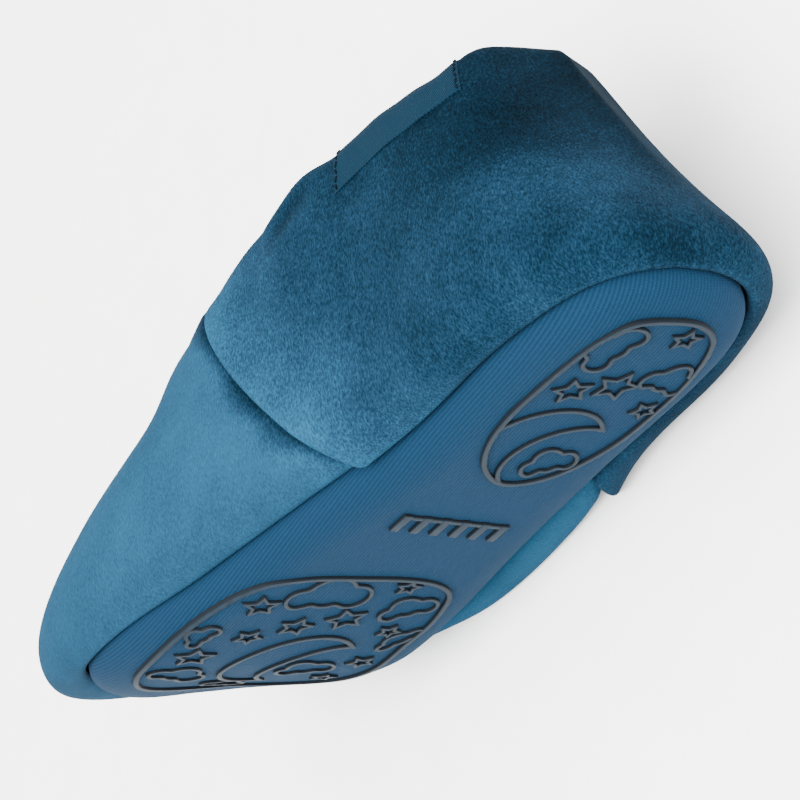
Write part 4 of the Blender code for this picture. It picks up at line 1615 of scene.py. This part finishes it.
    def build(self) -> Piece:
        """Models all the bands and joins them.

        Returns:
            The grips.
        """
        rings = [self.through(marks) for marks in self.rings]
        half = self.ring_band / 2
        pieces = []
        for ring in rings:
            pieces.append(self.ribbon(self.beside(ring, half), self.beside(ring, -half), self.height))
        makers = {Shape.STAR: self.star, Shape.CLOUD: self.cloud, Shape.MOON: self.moon}
        for motif in self.motifs:
            t = math.radians(motif.turn_deg)
            spin = np.array([[math.cos(t), math.sin(t)], [-math.sin(t), math.cos(t)]])
            ring = min(rings, key=lambda loop: abs(loop[:, 0].mean() - motif.x))
            spot = np.array([motif.x, motif.y])
            loops = makers[motif.shape](motif.size, motif.wide)
            inside = [self.kept_in(loop @ spin + spot, ring) for loop in loops]
            pieces.append(self.ribbon(*inside, self.height - self.motif_lower))
        x, y = self.bar_centre
        for number in range(self.bars):
            across = y + (number - (self.bars - 1) / 2) * self.bar_pitch
            pieces.append(self.bar(x, across, *self.bar_size, self.height))
        strip = x - (self.bar_size[0] - self.bar_strip) / 2 + self.strip_ahead
        across = (self.bars - 1) * self.bar_pitch
        pieces.append(self.bar(strip, y, self.bar_strip, across, self.height - self.strip_lower))
        return Bench.close("rubber_grips", pieces, 0.004 * MM, 50.0)

    def dress(self, piece: Piece) -> None:
        """Gives the bands their rubber."""
        nodes = [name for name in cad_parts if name.startswith("grip_")]
        Bench.finish(piece, Rubber().material(), "rubber", *nodes)


@dataclass
class Label:
    """Woven ribbon sewn outside the collar on the left side, with its end stitches."""

    form: Form
    lay: Lay
    upper: Upper
    span: tuple[float, float] = (24.6, 62.6)
    top: float = 0.5
    height: float = 10.2
    thickness: float = 0.35
    off: float = 0.10
    pucker: float = 0.10
    ripples: float = 21.0
    ripple_slant: float = 2.0
    hem: float = 0.30
    hem_share: float = 0.02
    tuck: float = 0.25
    tuck_share: float = 0.05
    stitches: int = 6
    stitch_inset: float = 0.9
    stitch_round: float = 0.26
    stitch_slant: float = 0.2
    stitch_margin: float = 0.2

    def surface(self, x: Points, drop: Points, off: Points) -> Points:
        """Points over the collar's rounded outer face.

        Args:
            x: places along the shoe.
            drop: distances below the collar's edge.
            off: distances off the velour.

        Returns:
            Points in millimetres.
        """
        along = self.form.share_at(x)
        ones = np.ones_like(along)
        probe = 0.02
        edge = self.form.wall(Side.LEFT, along, ones)
        rise = edge - self.form.wall(Side.LEFT, along, ones - probe)
        length = np.linalg.norm(rise, axis=-1)
        before, after = (self.form.wall(Side.LEFT, along + way, ones) for way in (-1e-3, 1e-3))
        normal = unit(np.cross(rise, after - before))
        full = np.sqrt(1 - np.clip(1 - drop / self.upper.collar_round, 0.0, 1.0) ** 2)
        half = self.upper.wall / 2
        lift = (self.upper.panel + half) * full - half + off
        return self.form.wall(Side.LEFT, along, ones - drop * probe / length) + normal * lift[..., None]

    def build(self) -> Piece:
        """Models the ribbon, slightly puckered between its sewn ends.

        Returns:
            The ribbon.
        """
        x, drop = np.meshgrid(np.linspace(*self.span, 75), np.linspace(0.0, 1.0, 23), indexing="ij")
        share = (x - self.span[0]) / (self.span[1] - self.span[0])
        ripple = np.sin(share * self.ripples + self.ripple_slant * drop)
        pucker = self.pucker * ripple * np.sin(math.pi * share) ** 0.5
        hem = self.hem * (np.exp(-share / self.hem_share) + np.exp(-(1 - share) / self.hem_share))
        tuck = self.tuck * np.exp(-drop / self.tuck_share)
        off = self.off + self.thickness + pucker - hem - tuck
        points = self.surface(x, self.top + drop * self.height, off)
        piece = Bench.sheet("woven_label", self.lay.place(points))
        solid = piece.modifiers.new("cloth", "SOLIDIFY")
        solid.thickness = self.thickness * MM
        solid.offset = 1.0
        bpy.ops.object.modifier_apply(modifier=solid.name)
        Bench.sew(piece, 0.002 * MM)
        Bench.smooth(piece, 60.0)
        return piece

    def build_stitches(self) -> Piece:
        """Models the short stitches along the ribbon's two ends.

        Returns:
            The stitches.
        """
        pieces = []
        pitch = (self.height - 2 * self.stitch_margin) / self.stitches
        for end, inset in zip(self.span, (self.stitch_inset, -self.stitch_inset)):
            for number in range(self.stitches):
                drop = self.top + self.stitch_margin + (number + np.array([0.1, 0.9])) * pitch
                slant = np.array([-self.stitch_slant, self.stitch_slant]) * (-1) ** number
                points = self.surface(end + inset + slant, drop, np.full(2, self.thickness + self.off))
                ends = self.lay.place(points)
                way = Vector(ends[1] - ends[0])
                Bench.clear()
                bpy.ops.mesh.primitive_uv_sphere_add(segments=10, ring_count=8, radius=1.0)
                piece = bpy.context.object
                turn = way.to_track_quat("Z", "Y").to_matrix().to_4x4()
                thick = self.stitch_round * MM
                scale = Matrix.Diagonal((thick, thick, way.length / 2, 1.0))
                piece.data.transform(Matrix.Translation(Vector(ends.mean(axis=0))) @ turn @ scale)
                pieces.append(piece)
        piece = Bench.join("label_stitches", pieces)
        Bench.smooth(piece)
        return piece

    def dress(self, ribbon: Piece, stitches: Piece) -> None:
        """Gives ribbon and stitches their materials."""
        Bench.finish(ribbon, Ribbon().material(), "ribbon", "label")
        Bench.finish(stitches, Thread().material(), "ribbon")


@dataclass
class Studio:
    """Pale floor, soft lights and the camera; floor and lights are sized in metres."""

    lay: Lay
    azimuth_deg: float = 39.743
    elevation_deg: float = 28.146
    roll_deg: float = 13.785
    distance: float = 520.18
    target: tuple[float, float, float] = (42.92, 39.31, 0.0)
    focal_px: float = 2952.3
    image_px: float = 800.0
    sensor: float = 36.0
    near: float = 0.02
    floor_size: float = 12.0
    sky: float = 2.0

    def axes(self) -> tuple[Vector, Vector, Vector]:
        """The camera's directions in the row frame.

        Returns:
            Image right, image down and back.
        """
        az, el, roll = (math.radians(v) for v in (self.azimuth_deg, self.elevation_deg, self.roll_deg))
        back = np.array([-math.cos(az) * math.cos(el), math.sin(az) * math.cos(el), -math.sin(el)])
        level = np.cross(-back, [0.0, 0.0, 1.0])
        level /= np.linalg.norm(level)
        down = np.cross(-back, level)
        right = math.cos(roll) * level + math.sin(roll) * down
        lower = -math.sin(roll) * level + math.cos(roll) * down
        return tuple(self.lay.direction(v) for v in (right, lower, back))

    def build_camera(self) -> None:
        """Sets the camera at the photographed angle."""
        right, lower, back = self.axes()
        data = bpy.data.cameras.new("camera")
        data.sensor_width = self.sensor
        data.lens = self.sensor * self.focal_px / self.image_px
        data.clip_start = self.near
        camera = bpy.data.objects.new("camera", data)
        bpy.context.scene.collection.objects.link(camera)
        target = np.array(self.target) @ self.lay.turn.T * MM + self.lay.shift
        spot = Vector(target) + back * self.distance * MM
        camera.matrix_world = Matrix.Translation(spot) @ Matrix((right, -lower, back)).transposed().to_4x4()
        bpy.context.scene.camera = camera

    def build_floor(self) -> None:
        """Lays a large pale floor under the slipper."""
        Bench.clear()
        bpy.ops.mesh.primitive_plane_add(size=self.floor_size)
        floor = bpy.context.object
        floor.name = "floor"
        floor.data.materials.append(Paper().material())
        floor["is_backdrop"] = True

    def build_lights(self) -> None:
        """Hangs soft lights over the slipper's toe and sole sides."""
        # name, place, size and watts
        rows = (
            ("key", (-0.15, -0.40, 1.28), 1.0, 54.0),
            ("fill", (0.90, -0.50, 0.90), 1.2, 54.0),
            ("top", (0.10, 0.60, 1.30), 1.4, 24.0),
        )
        for name, place, size, power in rows:
            data = bpy.data.lights.new(name, "AREA")
            data.size = size
            data.energy = power
            lamp = bpy.data.objects.new(name, data)
            bpy.context.scene.collection.objects.link(lamp)
            spot = Vector(place)
            lamp.matrix_world = Matrix.Translation(spot) @ spot.to_track_quat("Z", "Y").to_matrix().to_4x4()
        world = bpy.data.worlds.new("studio")
        world.use_nodes = True
        sky = world.node_tree.nodes["Background"]
        connect(world.node_tree, sky, {"Color": linear("ffffff"), "Strength": self.sky})
        bpy.context.scene.world = world


def main() -> None:
    """Builds the slipper's pieces in order."""
    logging.basicConfig(level=logging.INFO, format="%(name)s: %(message)s")
    form = Form()
    lay = Lay(form)
    studio = Studio(lay)
    studio.build_camera()
    studio.build_lights()
    studio.build_floor()
    upper = Upper(form, lay)
    upper.dress(upper.build())
    sole = Sole(form, lay)
    sole.dress(sole.build_outsole(), sole.build_insole())
    grips = Grips(form, lay)
    grips.dress(grips.build())
    label = Label(form, lay, upper)
    label.dress(label.build(), label.build_stitches())
    boxes = {"cad": CAD_BOX, "visual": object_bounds()}
    {key: [list(corner) for corner in box] for key, box in boxes.items()}


if __name__ == "__main__":
    main()
